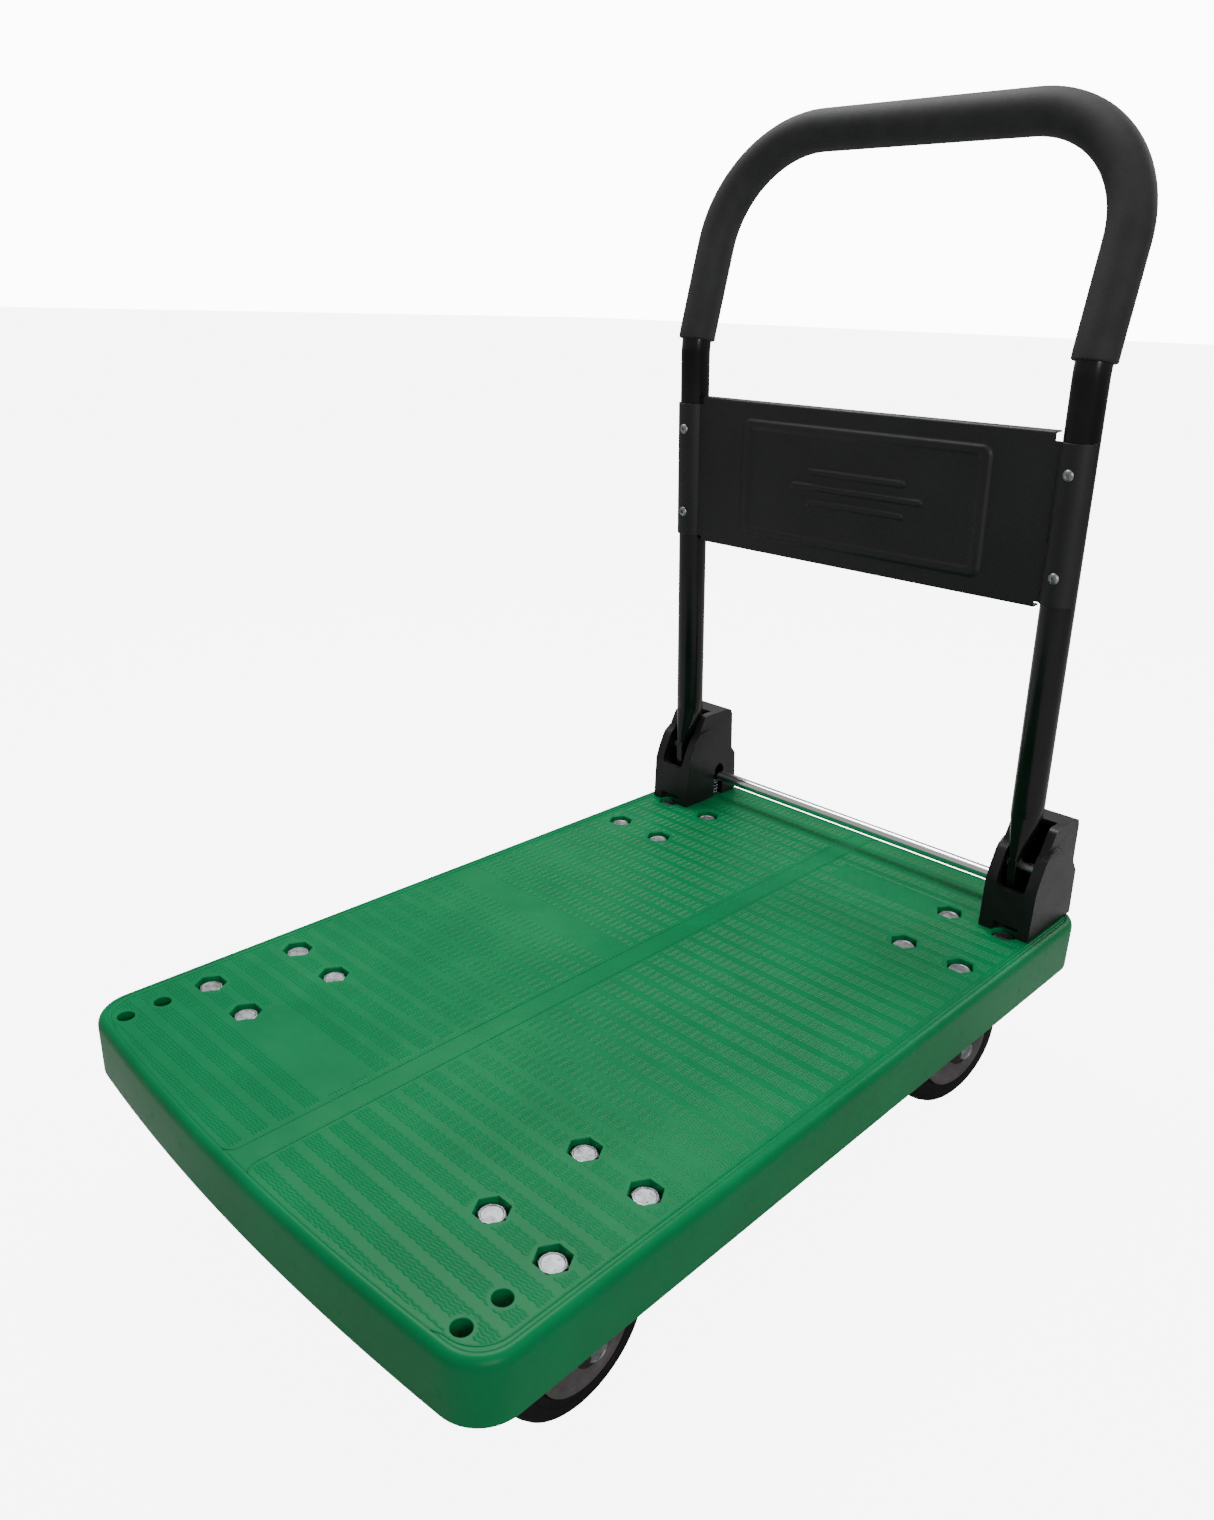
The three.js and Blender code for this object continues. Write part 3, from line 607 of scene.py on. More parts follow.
def skirt_profile():
    """(inset, height) from the inner wall round the foot, up the skirt and over the rounded edge."""
    profile = [(WALL, CEILING), (WALL, 121.0), (WALL - 0.8, DECK_BOTTOM), (1.0, DECK_BOTTOM), (0.2, 120.6)]
    profile += [(0.0, 121.6), (0.0, 159.0)]
    for angle in np.linspace(0, np.pi / 2, 9):
        profile.append((EDGE_RADIUS * (1 - math.cos(angle)) * 0.8, 160.0 + EDGE_RADIUS * math.sin(angle)))
    profile += [(6.9, DECK_TOP - 0.05), (7.3, DECK_TOP - 0.55), (7.8, DECK_TOP - 0.6), (8.3, TREAD_BASE)]
    return profile


def deck_shell():
    """The skirt profile carried round the outline, closed by a flat top and a flat ceiling."""
    rings = []
    for inset, height in skirt_profile():
        edge = deck_edge(inset)
        rings.append(np.column_stack((edge, np.full(len(edge), height))))
    count = len(rings[0])
    points = np.concatenate(rings)
    quads = grid_faces(len(rings), count, wrap_columns=True).tolist()
    top = tuple(range((len(rings) - 1) * count, len(rings) * count))
    ceiling = tuple(range(count))[::-1]
    mesh = bpy.data.meshes.new("shell")
    mesh.from_pydata((points * MM).tolist(), [], quads + [top, ceiling])
    return clean(mesh)


def bolt_places():
    """Every caster bolt as (end, hand, number, x, y)."""
    places = []
    for end in ENDS:
        for hand, side in SIDES:
            spots = [(dx, dy) for dx in (-BOLT_X, BOLT_X) for dy in (-BOLT_Y, BOLT_Y)]
            for number, (dx, dy) in enumerate(spots, 1):
                places.append((end, hand, number, side * CASTER_X + dx, CASTER_Y[end] + dy))
    return places


def pocket_cutters():
    """Hexagonal pockets with a slight draft, the bolt holes under them and the open corner holes."""
    cutters = []
    for _, _, _, x, y in bolt_places():
        levels = ((POCKET_FLATS - 0.6, POCKET_FLOOR), (POCKET_FLATS, 167.0), (POCKET_FLATS + 1.4, 168.4))
        rings = [np.column_stack((hexagon(flats, (x, y)), np.full(6, z))) for flats, z in levels]
        rings.append(np.column_stack((hexagon(POCKET_FLATS + 1.4, (x, y)), np.full(6, 175.0))))
        mesh = bpy.data.meshes.new("pocket")
        count = len(rings)
        faces = grid_faces(count, 6, wrap_columns=True).tolist()
        faces += [tuple(range(6))[::-1], tuple(range((count - 1) * 6, count * 6))]
        mesh.from_pydata((np.concatenate(rings) * MM).tolist(), [], faces)
        cutters.append(clean(mesh))
        cutters.append(pushed(ring(BOLT_RADIUS + 0.5, 20) + (x, y), 145.0, POCKET_FLOOR + 0.5))
    mouth = HOLE_RADIUS + 1.1
    low, high = DECK_BOTTOM - 10, DECK_TOP + 12
    profile = [(0, low), (HOLE_RADIUS, low), (HOLE_RADIUS, DECK_TOP - 0.8), (mouth, DECK_TOP + 0.3)]
    profile += [(mouth, high), (0, high)]
    for _, side in SIDES:
        for y in HOLE_YS:
            cutters.append(turned(profile, (side * HOLE_X, -y, 0), "z", 36))
            cutters.append(pushed(ring(BOLT_RADIUS + 0.5, 20) + (side * HOLE_X, y), low, high))
    return cutters


def deck_pads():
    """Solid bosses under the casters, the hinge blocks and the corner holes."""
    pads = []
    for end in ENDS:
        for _, side in SIDES:
            x, y = side * CASTER_X, CASTER_Y[end]
            pads.append(block(x - 46, x + 46, y - 57.5, y + 57.5, CASTER_PAD_BOTTOM, PAD_TOP))
    for _, side in SIDES:
        x = side * BLOCK_X
        for near, far in ((300.3, 362), (-353.5, -293.8)):
            pads.append(block(x - 26, x + 26, near, far, END_PAD_BOTTOM, PAD_TOP))
    return pads


def deck_ribs():
    """The ribs under the deck, in two directions."""
    ribs = []
    for x in (-100, 0, 100):
        ribs.append(block(x - 2, x + 2, -366, 369, RIB_BOTTOM, PAD_TOP))
    for x in (-60, -140, 60, 140):
        ribs.append(block(x - 1.5, x + 1.5, -118, 118, LOW_RIB_BOTTOM, PAD_TOP))
    for y in (-331, -120, 0, 120, 331):
        ribs.append(block(-232, 232, y - 2, y + 2, RIB_BOTTOM, PAD_TOP))
    return ribs


cutters = pocket_cutters()
shell = cut(deck_shell(), cutters)
show("deck_shell", shell, GREEN, "cart", ["deck"], 16)
for index, pad in enumerate(deck_pads()):
    show(f"deck_pad_{index + 1}", cut(pad, cutters), GREEN, "cart", ["deck"])
show("deck_ribs", join_meshes("ribs", deck_ribs()), GREEN, "cart", ["deck"])


# Tread: rows of fine wavy ridges across both halves of the deck
TREAD_PITCH = 19.8
TREAD_START = -240.5
RIDGE_PITCH = 2.6
RIDGES = 5
WAVE_LENGTH = 7.0
WAVE_SIZE = 0.55
RIDGE_HEIGHT = 0.42
SUNK = -0.12
TREAD_INNER = 12.6
TREAD_OUTER = 223.2
TREAD_FRONT = 10.5
TREAD_REAR = 365.5
TREAD_EDGE = 1.2
PLAIN_PATCHES = {-1: ((-141, -17, -291, -251), (-226, -9, -9, 16)), 1: ((26, 150, 264, 296),)}
BORDER_INNER = 9.8
BORDER_OUTER = 226.6
BEAD_SIZE = (0.75, 0.55)


def fade(distance, low, high):
    """0 where distance is under low, 1 over high, smooth between."""
    part = np.clip((distance - low) / (high - low), 0, 1)
    return part * part * (3 - 2 * part)


def outside_box(x, y, x0, x1, y0, y1):
    """How far a point is outside a rectangle; negative inside."""
    return np.maximum(np.maximum(x0 - x, x - x1), np.maximum(y0 - y, y - y1))


def front_edge(x):
    """The bowed front end of the deck at that x."""
    return BOW_RADIUS - np.sqrt(BOW_RADIUS**2 - x**2) - DECK_HALF_LENGTH


def tread_mask(x, y, side):
    """1 where the tread runs, 0 at the borders, pockets, holes, hinge blocks and plain patches."""
    across = np.abs(x)
    mask = fade(across, TREAD_INNER, TREAD_INNER + TREAD_EDGE)
    mask = mask * (1 - fade(across, TREAD_OUTER, TREAD_OUTER + TREAD_EDGE))
    mask = mask * fade(y - front_edge(x), TREAD_FRONT, TREAD_FRONT + TREAD_EDGE)
    mask = mask * (1 - fade(y, TREAD_REAR, TREAD_REAR + TREAD_EDGE))
    corner = np.hypot(np.maximum(across - 208, 0), np.maximum(front_edge(x) + 27 - y, 0))
    mask = mask * (1 - fade(corner, 15.0, 15.0 + TREAD_EDGE))
    for _, _, _, bolt_x, bolt_y in bolt_places():
        if bolt_x * side > 0:
            mask = mask * fade(np.hypot(x - bolt_x, y - bolt_y), 14.2, 15.2)
    for hole_y in HOLE_YS:
        mask = mask * fade(np.hypot(across - HOLE_X, y + hole_y), 8.8, 9.8)
    mask = mask * fade(outside_box(across, y, 172, 240, 276, 380), 0.0, 1.0)
    for patch in PLAIN_PATCHES[side]:
        mask = mask * fade(outside_box(x, y, *patch), 0.0, 1.0)
    return mask


def tread_sheet(side, low, high):
    """Height over the deck: a row of cosine ridges round each row's centre line, bent by a sine along X."""
    x = side * np.arange(11.6, 225.4, 0.95)
    first = math.ceil((low - TREAD_START) / TREAD_PITCH)
    last = math.floor((high - TREAD_START) / TREAD_PITCH)
    half = RIDGES * RIDGE_PITCH / 2 + WAVE_SIZE
    meshes = []
    step = np.linspace(-half, half, 42)
    for row in range(first, last + 1):
        centre = TREAD_START + TREAD_PITCH * row
        grid_x, grid_v = np.meshgrid(x, step)
        grid_y = centre + grid_v
        v = grid_v - WAVE_SIZE * np.sin(2 * np.pi * grid_x / WAVE_LENGTH)
        inside = np.abs(v) < RIDGES * RIDGE_PITCH / 2
        wave = np.where(inside, 0.5 + 0.5 * np.cos(2 * np.pi * v / RIDGE_PITCH), 0.0)
        mask = tread_mask(grid_x, grid_y, side)
        height = SUNK + (RIDGE_HEIGHT - SUNK) * wave * mask
        points = np.stack((grid_x, grid_y, TREAD_BASE + height), axis=-1).reshape(-1, 3)
        faces = grid_faces(len(step), len(x))
        keep = mask.reshape(-1)[faces].max(axis=1) > 0.0
        if keep.any():
            meshes.append((points, faces[keep] if side > 0 else faces[keep][:, ::-1]))
    total = 0
    all_points = []
    all_faces = []
    for points, faces in meshes:
        all_points.append(points)
        all_faces.append(faces + total)
        total += len(points)
    mesh = make_mesh("tread", np.concatenate(all_points), np.concatenate(all_faces))
    work = bmesh.new()
    work.from_mesh(mesh)
    loose = [vertex for vertex in work.verts if not vertex.link_faces]
    bmesh.ops.delete(work, geom=loose, context="VERTS")
    work.to_mesh(mesh)
    work.free()
    return mesh


for hand, side in SIDES:
    for part, (low, high) in enumerate(((-372, -180), (-180, 12), (12, 204), (204, 372)), 1):
        show(f"tread_{hand}_{part}", tread_sheet(side, low, high), GREEN, "cart", ["deck"], 80)


def frame_path(x0, x1, side):
    """Round the edge of one tread panel: bowed at the front, rounded at the four corners."""
    path = []
    corners = ((x0, 1, 9), (x1, 1, 26), (x1, -1, 26), (x0, -1, 9))
    for x, front, radius in corners:
        inward = 1 if x == x0 else -1
        y = front_edge(np.array(x)) + 7.6 if front > 0 else 369.0
        centre = np.array((x + inward * radius, y + front * radius))
        turn = {(1, 1): (180, 270), (-1, 1): (270, 360), (-1, -1): (0, 90), (1, -1): (90, 180)}
        start, end = turn[(inward, front)]
        angle = np.radians(np.linspace(start, end, 9))
        path.append(centre + radius * np.stack((np.cos(angle), np.sin(angle)), axis=-1))
        if x == x0 and front > 0:
            across = np.linspace(x0 + radius + 8, x1 - 34, 20)
            path.append(np.stack((across, front_edge(across) + 7.6), axis=-1))
    points = np.concatenate(path)
    points[:, 0] *= side
    if side < 0:
        points = points[::-1]
    return np.column_stack((points, np.full(len(points), TREAD_BASE - 0.05)))


bead = ring(1.0, 9) * BEAD_SIZE
for hand, side in SIDES:
    border = carried(frame_path(BORDER_INNER, BORDER_OUTER, side), bead, closed=True)
    show(f"tread_border_{hand}", border, GREEN, "cart", ["deck"], 80)


# ---------------------------------------------------------------- bolts
def hex_head(flats, height, dish=0.5):
    """A hexagon head: its corners cut by a shallow cone, its face dished inside a raised rim.

    The radius at each angle is that of a hexagon, and the top edge drops where the hexagon passes the cone.
    """
    angle = np.linspace(0, 2 * np.pi, 60, endpoint=False)
    sector = (angle + np.pi / 6) % (np.pi / 3) - np.pi / 6
    six = (flats / 2) / np.cos(sector)
    flat = flats / 2
    rings = [(six, np.zeros(60)), (six, height - np.maximum(six - flat * 0.97, 0) * 0.62)]
    floor = height - dish
    for radius, z in ((flat * 0.96, height), (flat * 0.90, height), (flat * 0.82, floor), (0.0, floor)):
        rings.append((np.full(60, radius), np.full(60, z)))
    rings.insert(0, (np.zeros(60), np.zeros(60)))
    points = np.stack(
        [np.stack((r * np.cos(angle), r * np.sin(angle), z), axis=-1) for r, z in rings]
    ).reshape(-1, 3)
    return clean(make_mesh("head", points, grid_faces(len(rings), 60, wrap_columns=True)))


def stamp_marks():
    """Small raised ticks on a bolt head, in place of grade marks."""
    marks = []
    for degrees in (90, 210, 330):
        angle = math.radians(degrees)
        x, y = 4.6 * math.cos(angle), 4.6 * math.sin(angle)
        marks.append(pushed(ring(0.55, 8) + (x, y), 5.4, 6.05))
    return marks


def deck_bolt(x, y, spin):
    """A bolt in its pocket: head, shank and the nut under the caster plate."""
    head = join_meshes("head", [hex_head(BOLT_FLATS, 6.2)] + stamp_marks())
    turn = math.radians(spin)
    for vertex in head.vertices:
        px, py = vertex.co.x, vertex.co.y
        vertex.co.x = px * math.cos(turn) - py * math.sin(turn)
        vertex.co.y = px * math.sin(turn) + py * math.cos(turn)
    head = moved(head, 0.0, (x, y, POCKET_FLOOR + 0.3))
    tip, top = 139.6, POCKET_FLOOR + 1
    profile = [(0, tip), (BOLT_RADIUS - 0.6, tip), (BOLT_RADIUS, tip + 0.7), (BOLT_RADIUS, top), (0, top)]
    shank = turned(profile, (x, y, 0), "z", 24)
    nut = pushed(hexagon(BOLT_FLATS, (x, y)), 141.0, 148.7)
    return join_meshes("bolt", [head, shank, nut])


for end, hand, number, x, y in bolt_places():
    spin = (number * 23 + (7 if end == "front" else 16) + (11 if hand == "left" else 0)) % 9 - 4
    node = f"deck_bolt_{end}_{hand}_{number}"
    show(node + "_skin", deck_bolt(x, y, spin), ZINC, "cart", [node], 30)


# ---------------------------------------------------------------- casters
def tyre():
    """A tyre turned round X: crowned tread, round shoulders, a fine ring line on each wall."""
    half = [(40.4, 13.9), (41.2, 14.5), (47.0, 14.6), (47.4, 14.2)]
    half += [(48.2, 14.2), (48.6, 14.6), (54.0, 14.4)]
    for angle in np.linspace(0.15, 1.35, 8):
        half.append((54.0 + 6.4 * math.sin(angle), 7.6 + 6.8 * math.cos(angle)))
    half += [(61.6, 6.4), (62.2, 3.8), (62.5, 1.2)]
    profile = half + [(r, -w) for r, w in half[::-1]]
    return profile + [profile[0]]


def hub():
    """A hub disc turned round X: raised rim, shallow dish, raised boss with the axle bore."""
    half = [(6.3, 19.2), (11.6, 19.2), (12.4, 18.6), (13.2, 15.4), (14.6, 14.8), (31.5, 15.2), (32.6, 15.8)]
    half += [(34.0, 17.0), (35.0, 17.3), (38.6, 17.3), (39.6, 16.9), (40.0, 16.0)]
    profile = half + [(r, -w) for r, w in half[::-1]]
    return profile + [profile[0]]


def axle_bolt(side):
    """Head outside the leg on the outer side, a lock nut on the inner side."""
    def along_x(mesh, direction):
        points = np.empty(len(mesh.vertices) * 3)
        mesh.vertices.foreach_get("co", points)
        points = points.reshape(-1, 3)
        turned_points = np.stack((points[:, 2] * direction, points[:, 0], points[:, 1]), axis=-1)
        mesh.vertices.foreach_set("co", turned_points.ravel())
        return clean(mesh)

    r = AXLE_RADIUS
    head = moved(along_x(hex_head(AXLE_FLATS, 4.9), side), 0, (side * LEG_FACE, 0, 0))
    nut = moved(along_x(hex_head(AXLE_FLATS, 8.0, 0.2), -side), 0, (-side * LEG_FACE, 0, 0))
    tip = turned([(0, 0), (r, 0), (r, 8.8), (r - 0.8, 9.4), (0, 9.4)], (0, 0, 0), "z", 24)
    tip = moved(along_x(tip, -side), 0, (-side * LEG_FACE, 0, 0))
    shank = turned([(0, -24), (r, -24), (r, 24), (0, 24)], (0, 0, 0), "x", 24)
    return join_meshes("axle", [head, nut, tip, shank])


def settled(mesh, end, side):
    """Carry a wheel piece made about the origin to its caster, a rear one turned about its kingpin."""
    angle = math.radians(-side * REST_ANGLE) if end == "rear" else 0.0
    trail = TRAIL if end == "rear" else 0.0
    points = np.empty(len(mesh.vertices) * 3)
    mesh.vertices.foreach_get("co", points)
    points = points.reshape(-1, 3) + np.array((0.0, trail, WHEEL_RADIUS)) * MM
    x = points[:, 0] * math.cos(angle) - points[:, 1] * math.sin(angle)
    y = points[:, 0] * math.sin(angle) + points[:, 1] * math.cos(angle)
    points = np.stack((x + side * CASTER_X * MM, y + HANG_Y[end] * MM, points[:, 2]), axis=-1)
    mesh.vertices.foreach_set("co", points.ravel())
    return mesh


for end in ENDS:
    for hand, side in SIDES:
        wheel_body = f"{end}_wheel_{hand}"
        tag = f"{end}_{hand}"
        rubber = settled(turned(tyre(), (0, 0, 0), "x", 112), end, side)
        core = settled(turned(hub(), (0, 0, 0), "x", 96), end, side)
        bolt = settled(axle_bolt(side), end, side)
        bolt_body = "cart" if end == "front" else f"rear_swivel_{hand}"
        show(f"tyre_{tag}_skin", rubber, RUBBER, wheel_body, [f"tyre_{tag}"], 30)
        show(f"hub_{tag}", core, HUB, wheel_body, [f"wheel_core_{tag}"], 30)
        show(f"axle_bolt_{tag}_skin", bolt, ZINC, bolt_body, [f"axle_bolt_{tag}"], 30)

for hand, side in SIDES:
    from_cad(f"caster_bracket_{hand}", FORK, "cart", 0.5)
    from_cad(f"swivel_plate_{hand}", FORK, "cart", 0.5)
    from_cad(f"swivel_fork_{hand}", FORK, f"rear_swivel_{hand}", 0.5)
    from_cad(f"kingpin_{hand}", ZINC, "cart", 0.4)
    for level in ("front", "rear"):
        from_cad(f"block_screw_{hand}_{level}", ZINC, "cart", 0.4)


# ---------------------------------------------------------------- hinge blocks and release bar
for hand, side in SIDES:
    from_cad(f"hinge_block_{hand}", PLASTIC, "cart", 1.3, 40)
    from_cad(f"pivot_pin_{hand}", WIRE, "cart", 0.6)


def release_bar():
    """A round bar with turned-down ends, chamfered where it steps and at its tips."""
    end, neck = BAR_HALF_LENGTH, BAR_NECK_RADIUS
    half = [(0.0, end), (neck - 0.8, end), (neck, end - 1), (neck, 178.0), (5.2, 177.2), (5.9, 175.8)]
    half += [(BAR_RADIUS, 175.2), (BAR_RADIUS, 173.0)]
    profile = half + [(r, -w) for r, w in half[::-1]]
    return turned(profile, (0, BAR_Y, BAR_Z), "x", 48)


show("release_bar_skin", release_bar(), CHROME, "release_bar", ["release_bar"], 30)


def coil(x):
    """A helix of round wire standing on the deck, its end turns closed down flat."""
    t = np.linspace(0, 1, 150)
    angle = 2 * np.pi * SPRING_TURNS * t
    rise = fade(t, 0.0, 1.0) * 0.35 + t * 0.65
    z = SPRING_LOW + WIRE_RADIUS + (SPRING_HIGH - SPRING_LOW - 2 * WIRE_RADIUS) * rise
    around = (x + SPRING_RADIUS * np.cos(angle), BAR_Y + SPRING_RADIUS * np.sin(angle), z)
    path = np.stack(around, axis=-1)
    scale = np.ones(len(t))
    scale[0] = 0.0
    scale[-1] = 0.0
    path[0] = path[1] - (path[2] - path[1]) * 0.01
    path[-1] = path[-2] + (path[-2] - path[-3]) * 0.01
    return carried(path, ring(WIRE_RADIUS, 8), scale)


for hand, side in SIDES:
    spring = show(f"bar_coil_{hand}", coil(side * SPRING_X), WIRE, "cart", [f"bar_spring_{hand}"], 60)
    foot = (side * SPRING_X * MM, BAR_Y * MM, SPRING_LOW * MM)
    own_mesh(spring)


# ---------------------------------------------------------------- handle
def handle_path(start):
    """Centre line of the tube, upright from the pivot: post, bend back, straight, quarter arc, top bar."""
    turn = LEAN + LOOP_LEAN
    reach = BEND_RADIUS * math.tan(turn / 2)
    low = BEND_AT - reach
    half = []
    if start < low:
        post = np.linspace(start, low, 24, endpoint=False)
        half.append(np.stack((np.full(24, POST_X), np.zeros(24), post), axis=-1))
        first = 0.0
    else:
        first = math.asin((start - low) / BEND_RADIUS)
    bend = np.linspace(first, turn, 10)
    bend_y = BEND_RADIUS * (1 - np.cos(bend))
    bend_z = low + BEND_RADIUS * np.sin(bend)
    half.append(np.stack((np.full(10, POST_X), bend_y, bend_z), axis=-1))
    run = np.linspace(reach, LOOP_HEIGHT - LOOP_CORNER, 8)[1:-1]
    straight = np.stack((np.full(len(run), POST_X), run), axis=-1)
    quarter = np.linspace(0, np.pi / 2, 28)
    corner = np.stack(
        (
            POST_X - LOOP_CORNER * (1 - np.cos(quarter)),
            LOOP_HEIGHT - LOOP_CORNER * (1 - np.sin(quarter)),
        ),
        axis=-1,
    )
    top_x = np.linspace(POST_X - LOOP_CORNER, 0, 9)[1:]
    top = np.stack((top_x, np.full(8, LOOP_HEIGHT)), axis=-1)
    flat = np.concatenate((straight, corner, top))
    half.append(
        np.stack(
            (flat[:, 0], flat[:, 1] * math.sin(turn), BEND_AT + flat[:, 1] * math.cos(turn)), axis=-1
        )
    )
    right = np.concatenate(half)
    left = right[:-1][::-1] * (-1, 1, 1)
    return np.concatenate((right, left))


def walled_tube(start, outer, inner, lip):
    """A tube along the handle path with a wall.

    Rings run along the outside, round the lip, back along the bore and round the other lip, so the
    surface closes on itself. Each ring stands square to the path.
    """
    path = handle_path(start)
    tangent = np.gradient(path, axis=0)
    tangent /= np.linalg.norm(tangent, axis=1)[:, None]
    back = np.array((0.0, 1.0, 0.0))
    sides = back - tangent * (tangent @ back)[:, None]
    sides /= np.linalg.norm(sides, axis=1)[:, None]
    ups = np.cross(tangent, sides)
    count = len(path)
    up = np.arange(count)
    order = np.concatenate((np.zeros(2, int), up, np.full(2, count - 1), up[::-1]))
    shift = np.zeros(len(order))
    size = np.full(len(order), outer)
    size[count + 4 :] = inner
    size[0] = outer - lip
    size[1] = outer - lip * 0.3
    shift[1] = lip * 0.3
    shift[2] = lip
    size[count + 3] = outer - lip
    size[count + 2] = outer - lip * 0.3
    shift[count + 2] = -lip * 0.3
    shift[count + 1] = -lip
    spots = path[order] + tangent[order] * shift[:, None]
    outline = ring(1.0, 40)
    points = (
        spots[:, None, :]
        + sides[order][:, None, :] * (outline[None, :, 0:1] * size[:, None, None])
        + ups[order][:, None, :] * (outline[None, :, 1:2] * size[:, None, None])
    )
    faces = grid_faces(len(order), len(outline), wrap_rows=True, wrap_columns=True)
    return clean(make_mesh("tube", points.reshape(-1, 3), faces))


bent_tube = on_handle(walled_tube(TUBE_START, TUBE_RADIUS, TUBE_BORE, 0.3))
grip = on_handle(walled_tube(GRIP_START, GRIP_RADIUS, GRIP_BORE, 1.6))
show("handle_tube_skin", bent_tube, PAINT, "handle", ["handle_tube"], 40)
show("handle_grip_skin", grip, FOAM, "handle", ["handle_grip"], 50)


def blade():
    """The post end pressed flat: each ring is a rounded box that thins across and widens along the cart."""
    heights = np.linspace(52, 4, 33)
    flatness = 1 - np.clip((heights - 6) / 45, 0, 1)
    half_x = 14.0 - 10.0 * flatness
    half_y = 14.0 + 2.9 * np.sin(flatness * np.pi / 2)
    angle = np.linspace(0, 2 * np.pi, 48, endpoint=False)
    power = 1 - 0.55 * flatness
    shape_x = np.sign(np.cos(angle)) * np.abs(np.cos(angle))[None, :] ** power[:, None]
    shape_y = np.sign(np.sin(angle)) * np.abs(np.sin(angle))[None, :] ** power[:, None]
    x = half_x[:, None] * shape_x
    y = half_y[:, None] * shape_y
    z = np.broadcast_to(heights[:, None], x.shape)
    points = np.stack((x + POST_X, y, z), axis=-1)
    first = points[:1].mean(axis=1, keepdims=True).repeat(48, axis=1)
    last = points[-1:].mean(axis=1, keepdims=True).repeat(48, axis=1)
    points = np.concatenate((first, points, last)).reshape(-1, 3)
    return clean(make_mesh("blade", points, grid_faces(35, 48, wrap_columns=True)))


def blade_foot():
    """The cam plate under the blade: round about the pivot on the bar's side, straight at the front."""
    angle = np.radians(np.linspace(-106, -36, 22))
    points = [(41.2 * math.cos(a), 41.2 * math.sin(a)) for a in angle]
    points += [(16.9, 4), (16.9, 12), (-16.9, 12), (-16.9, -6)]
    return pushed(points, POST_X - 4, POST_X + 4, "x")


for hand, side in SIDES:
    upper, foot = blade(), blade_foot()
    if side < 0:
        upper, foot = mirrored(upper), mirrored(foot)
    show(f"blade_{hand}", on_handle(upper), PAINT, "handle", [f"handle_blade_{hand}"], 50)
    show(f"blade_foot_{hand}", on_handle(foot), PAINT, "handle", [f"handle_blade_{hand}"], 40, 0.8)


# Handle panel
PANEL_HALF = 179.0
PANEL_LOW = 238.2
PANEL_HIGH = 379.7
TAB_LOW = 243.4
TAB_HIGH = 372.7
SHEET = 1.5
PANEL_FRONT = -8.0
SADDLE_RADIUS = 14.3
RIVET_HEIGHTS = (("low", 267.0), ("high", 348.6))


def rounded_box(x, z, half_x, half_z, middle, radius):
    """Signed distance to a rounded rectangle, negative inside."""
    dx = np.abs(x) - (half_x - radius)
    dz = np.abs(z - middle) - (half_z - radius)
    return np.hypot(np.maximum(dx, 0), np.maximum(dz, 0)) + np.minimum(np.maximum(dx, dz), 0) - radius


def pressing(x, z):
    """How far the sheet is pressed forward: a flat field with a raised frame and three plain bars."""
    middle = 309.0
    outer = rounded_box(x, z, 129.5, 56.0, middle, 10)
    inner = rounded_box(x, z, 121.0, 48.5, middle, 7)
    height = 2.4 * fade(-outer, 0.0, 3.4) - 1.5 * fade(-inner, 0.0, 3.0)
    for offset, half in ((14.0, 52.0), (0.0, 70.0), (-14.0, 52.0)):
        bar = rounded_box(x, z, half, 3.6, middle + offset, 3.6)
        height = height + 2.0 * fade(-bar, 0.0, 2.0)
    return height


def panel_sheet():
    """The pressed sheet: front and back skins a sheet apart, edges joined, top and bottom folded back."""
    x = np.linspace(-PANEL_HALF, PANEL_HALF, 340)
    z = np.linspace(PANEL_LOW + 2, PANEL_HIGH - 2, 142)
    grid_z, grid_x = np.meshgrid(z, x, indexing="ij")
    front = PANEL_FRONT - pressing(grid_x, grid_z)
    rows = [np.stack((grid_x, front, grid_z), axis=-1)]
    angle = np.linspace(0, np.pi / 2, 7)
    top = []
    bottom = []
    for a in angle[1:]:
        top.append((PANEL_FRONT + 2 * (1 - math.cos(a)), PANEL_HIGH - 2 + 2 * math.sin(a)))
        bottom.append((PANEL_FRONT + 2 * (1 - math.cos(a)), PANEL_LOW + 2 - 2 * math.sin(a)))
    top.append((PANEL_FRONT + 10, PANEL_HIGH))
    bottom.append((PANEL_FRONT + 10, PANEL_LOW))

    def row(y, height):
        return np.stack((x, np.full(len(x), y), np.full(len(x), height)), axis=-1)[None]

    upper = [row(*point) for point in top]
    lower = [row(*point) for point in bottom][::-1]
    outer = np.concatenate(lower + rows + upper)
    return make_mesh("sheet", outer.reshape(-1, 3), grid_faces(len(outer), len(x)))


def panel_saddle():
    """The tab that wraps the front and the outer flank of a post, with a web back to the field."""
    radius = SADDLE_RADIUS
    angle_out = np.radians(np.linspace(212, 340, 22))
    outer = [(POST_X + (radius + SHEET) * math.cos(a), (radius + SHEET) * math.sin(a)) for a in angle_out]
    inner = [(POST_X + radius * math.cos(a), radius * math.sin(a)) for a in angle_out[::-1]]
    outline = [(PANEL_HALF - 1, PANEL_FRONT), *outer, *inner, (PANEL_HALF - 1, PANEL_FRONT + SHEET)]
    return pushed(outline, TAB_LOW, TAB_HIGH)


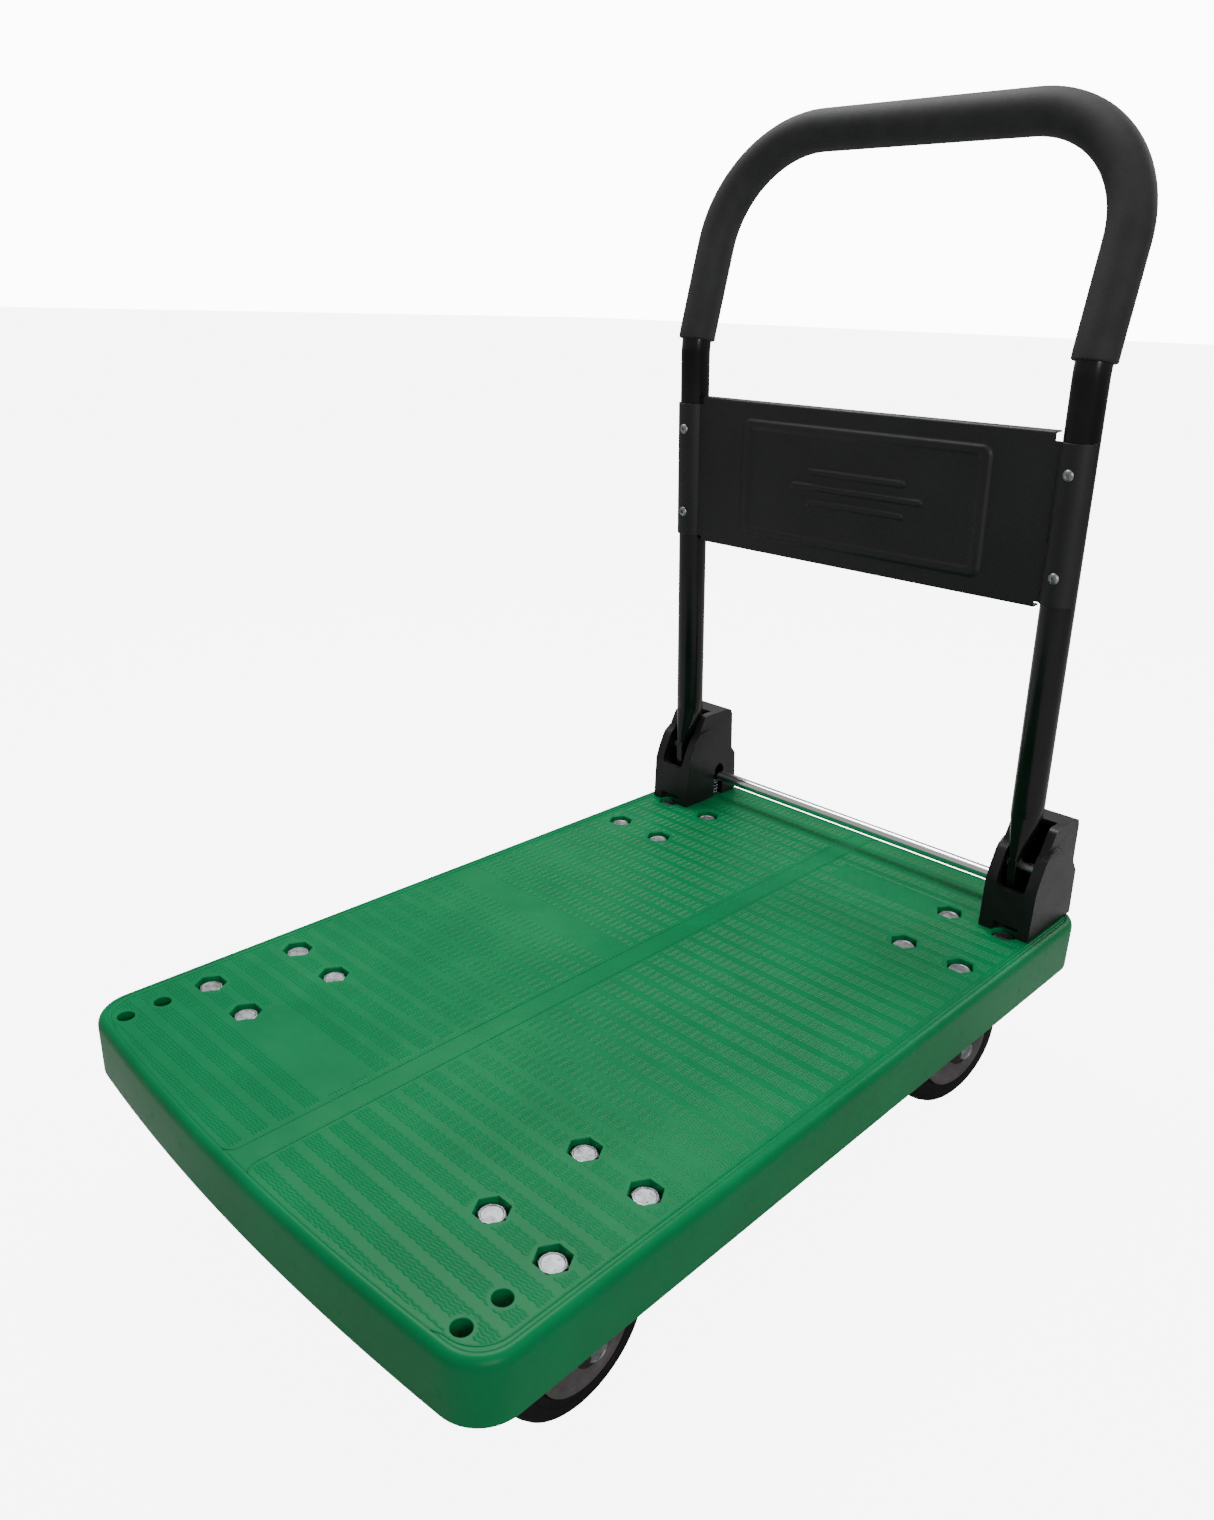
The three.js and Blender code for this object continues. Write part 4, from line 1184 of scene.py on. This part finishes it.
panel = on_handle(panel_sheet())
sheet_piece = show("panel_sheet", panel, POWDER, "handle", ["handle_panel"], 50)
thick = sheet_piece.modifiers.new("sheet thickness", "SOLIDIFY")
thick.thickness = SHEET * MM
thick.offset = -1
for hand, side in SIDES:
    saddle = panel_saddle()
    if side < 0:
        saddle = mirrored(saddle)
    show(f"panel_tab_{hand}", on_handle(saddle), POWDER, "handle", ["handle_panel"], 40, 0.35)


def rivet():
    """A blind rivet head turned round Y: a low dome with a sunk centre hole."""
    seat = SADDLE_RADIUS + SHEET
    rise = [(0, -1.5), (2.2, -1.5), (2.4, -0.2), (4.5, 0), (4.6, 0.3), (4.1, 1.1)]
    rise += [(3.0, 1.7), (1.9, 1.9), (1.5, 1.6), (1.4, 0.4), (0, 0.4)]
    return [(radius, -seat - height) for radius, height in rise]


for hand, side in SIDES:
    for level, height in RIVET_HEIGHTS:
        head = turned(rivet(), (side * POST_X, 0, height), "y", 32)
        node = f"panel_rivet_{hand}_{level}"
        show(node + "_skin", on_handle(head), ZINC, "handle", [node], 35)


# ---------------------------------------------------------------- stage, light, camera
def floor_paint(at):
    """Matte pale studio floor with the faintest cloudiness; it glows to the camera only."""
    cloud = at.noise(2.0, 2.0)
    seen = at.node("ShaderNodeLightPath")
    return {"Base Color": cloud.tint((0.40, 0.40, 0.40), (0.42, 0.42, 0.42)), "Emission Color": seen}


bpy.ops.mesh.primitive_plane_add(size=80.0, location=(0, 0, 0))
floor = bpy.context.object
floor.name = "floor"
studio = finish_material("studio floor", floor_paint, Roughness=0.9, Emission_Strength=7.0)
floor.data.materials.append(studio)

SKY_LIGHT = 0.5
SKY_SEEN = 12.0
world = bpy.data.worlds.new("studio")
world.use_nodes = True
sky = world.node_tree.nodes["Background"]
sky.inputs["Color"].default_value = (1.0, 1.0, 1.0, 1.0)
seen = world.node_tree.nodes.new("ShaderNodeLightPath")
strength = world.node_tree.nodes.new("ShaderNodeMapRange")
strength.inputs["To Min"].default_value = SKY_LIGHT
strength.inputs["To Max"].default_value = SKY_SEEN
world.node_tree.links.new(seen.outputs["Is Camera Ray"], strength.inputs["Value"])
world.node_tree.links.new(strength.outputs["Result"], sky.inputs["Strength"])
bpy.context.scene.world = world


def softbox(name, place, target, size, power):
    """A square area light at place, facing target, in metres and watts."""
    data = bpy.data.lights.new(name, "AREA")
    data.shape = "SQUARE"
    data.size = size
    data.energy = power
    lamp = bpy.data.objects.new(name, data)
    bpy.context.scene.collection.objects.link(lamp)
    place = np.array(place, dtype=float)
    aim = Vector(np.array(target) - place)
    lamp.location = place
    lamp.rotation_euler = aim.to_track_quat("-Z", "Y").to_euler()
    return lamp


softbox("key", (-0.9, 0.5, 2.6), (0, 0, 0.2), 1.4, 88)
softbox("right", (2.4, -1.2, 1.5), (0, 0, 0.5), 0.8, 40)
softbox("rear", (0.6, 2.6, 1.9), (0, 0.2, 0.5), 0.9, 24)

CAMERA_PLACE = (0.5872, -0.6442, 0.690)
LENS = 27.741
AZIMUTH = math.radians(43.844)
ELEVATION = math.radians(21.356)
ROLL = math.radians(1.7985)
back = np.array(
    (
        math.sin(AZIMUTH) * math.cos(ELEVATION),
        -math.cos(AZIMUTH) * math.cos(ELEVATION),
        math.sin(ELEVATION),
    )
)
right = np.cross(-back, (0, 0, 1))
right /= np.linalg.norm(right)
up = np.cross(right, -back)
right_rolled = right * math.cos(ROLL) + up * math.sin(ROLL)
up_rolled = up * math.cos(ROLL) - right * math.sin(ROLL)
camera_data = bpy.data.cameras.new("camera")
camera_data.sensor_width = 36.0
camera_data.lens = LENS
camera_data.clip_start = 0.01
camera = bpy.data.objects.new("camera", camera_data)
bpy.context.scene.collection.objects.link(camera)
turn = Matrix(np.stack((right_rolled, up_rolled, back), axis=-1).tolist()).to_4x4()
camera.matrix_world = Matrix.Translation(CAMERA_PLACE) @ turn
bpy.context.scene.camera = camera
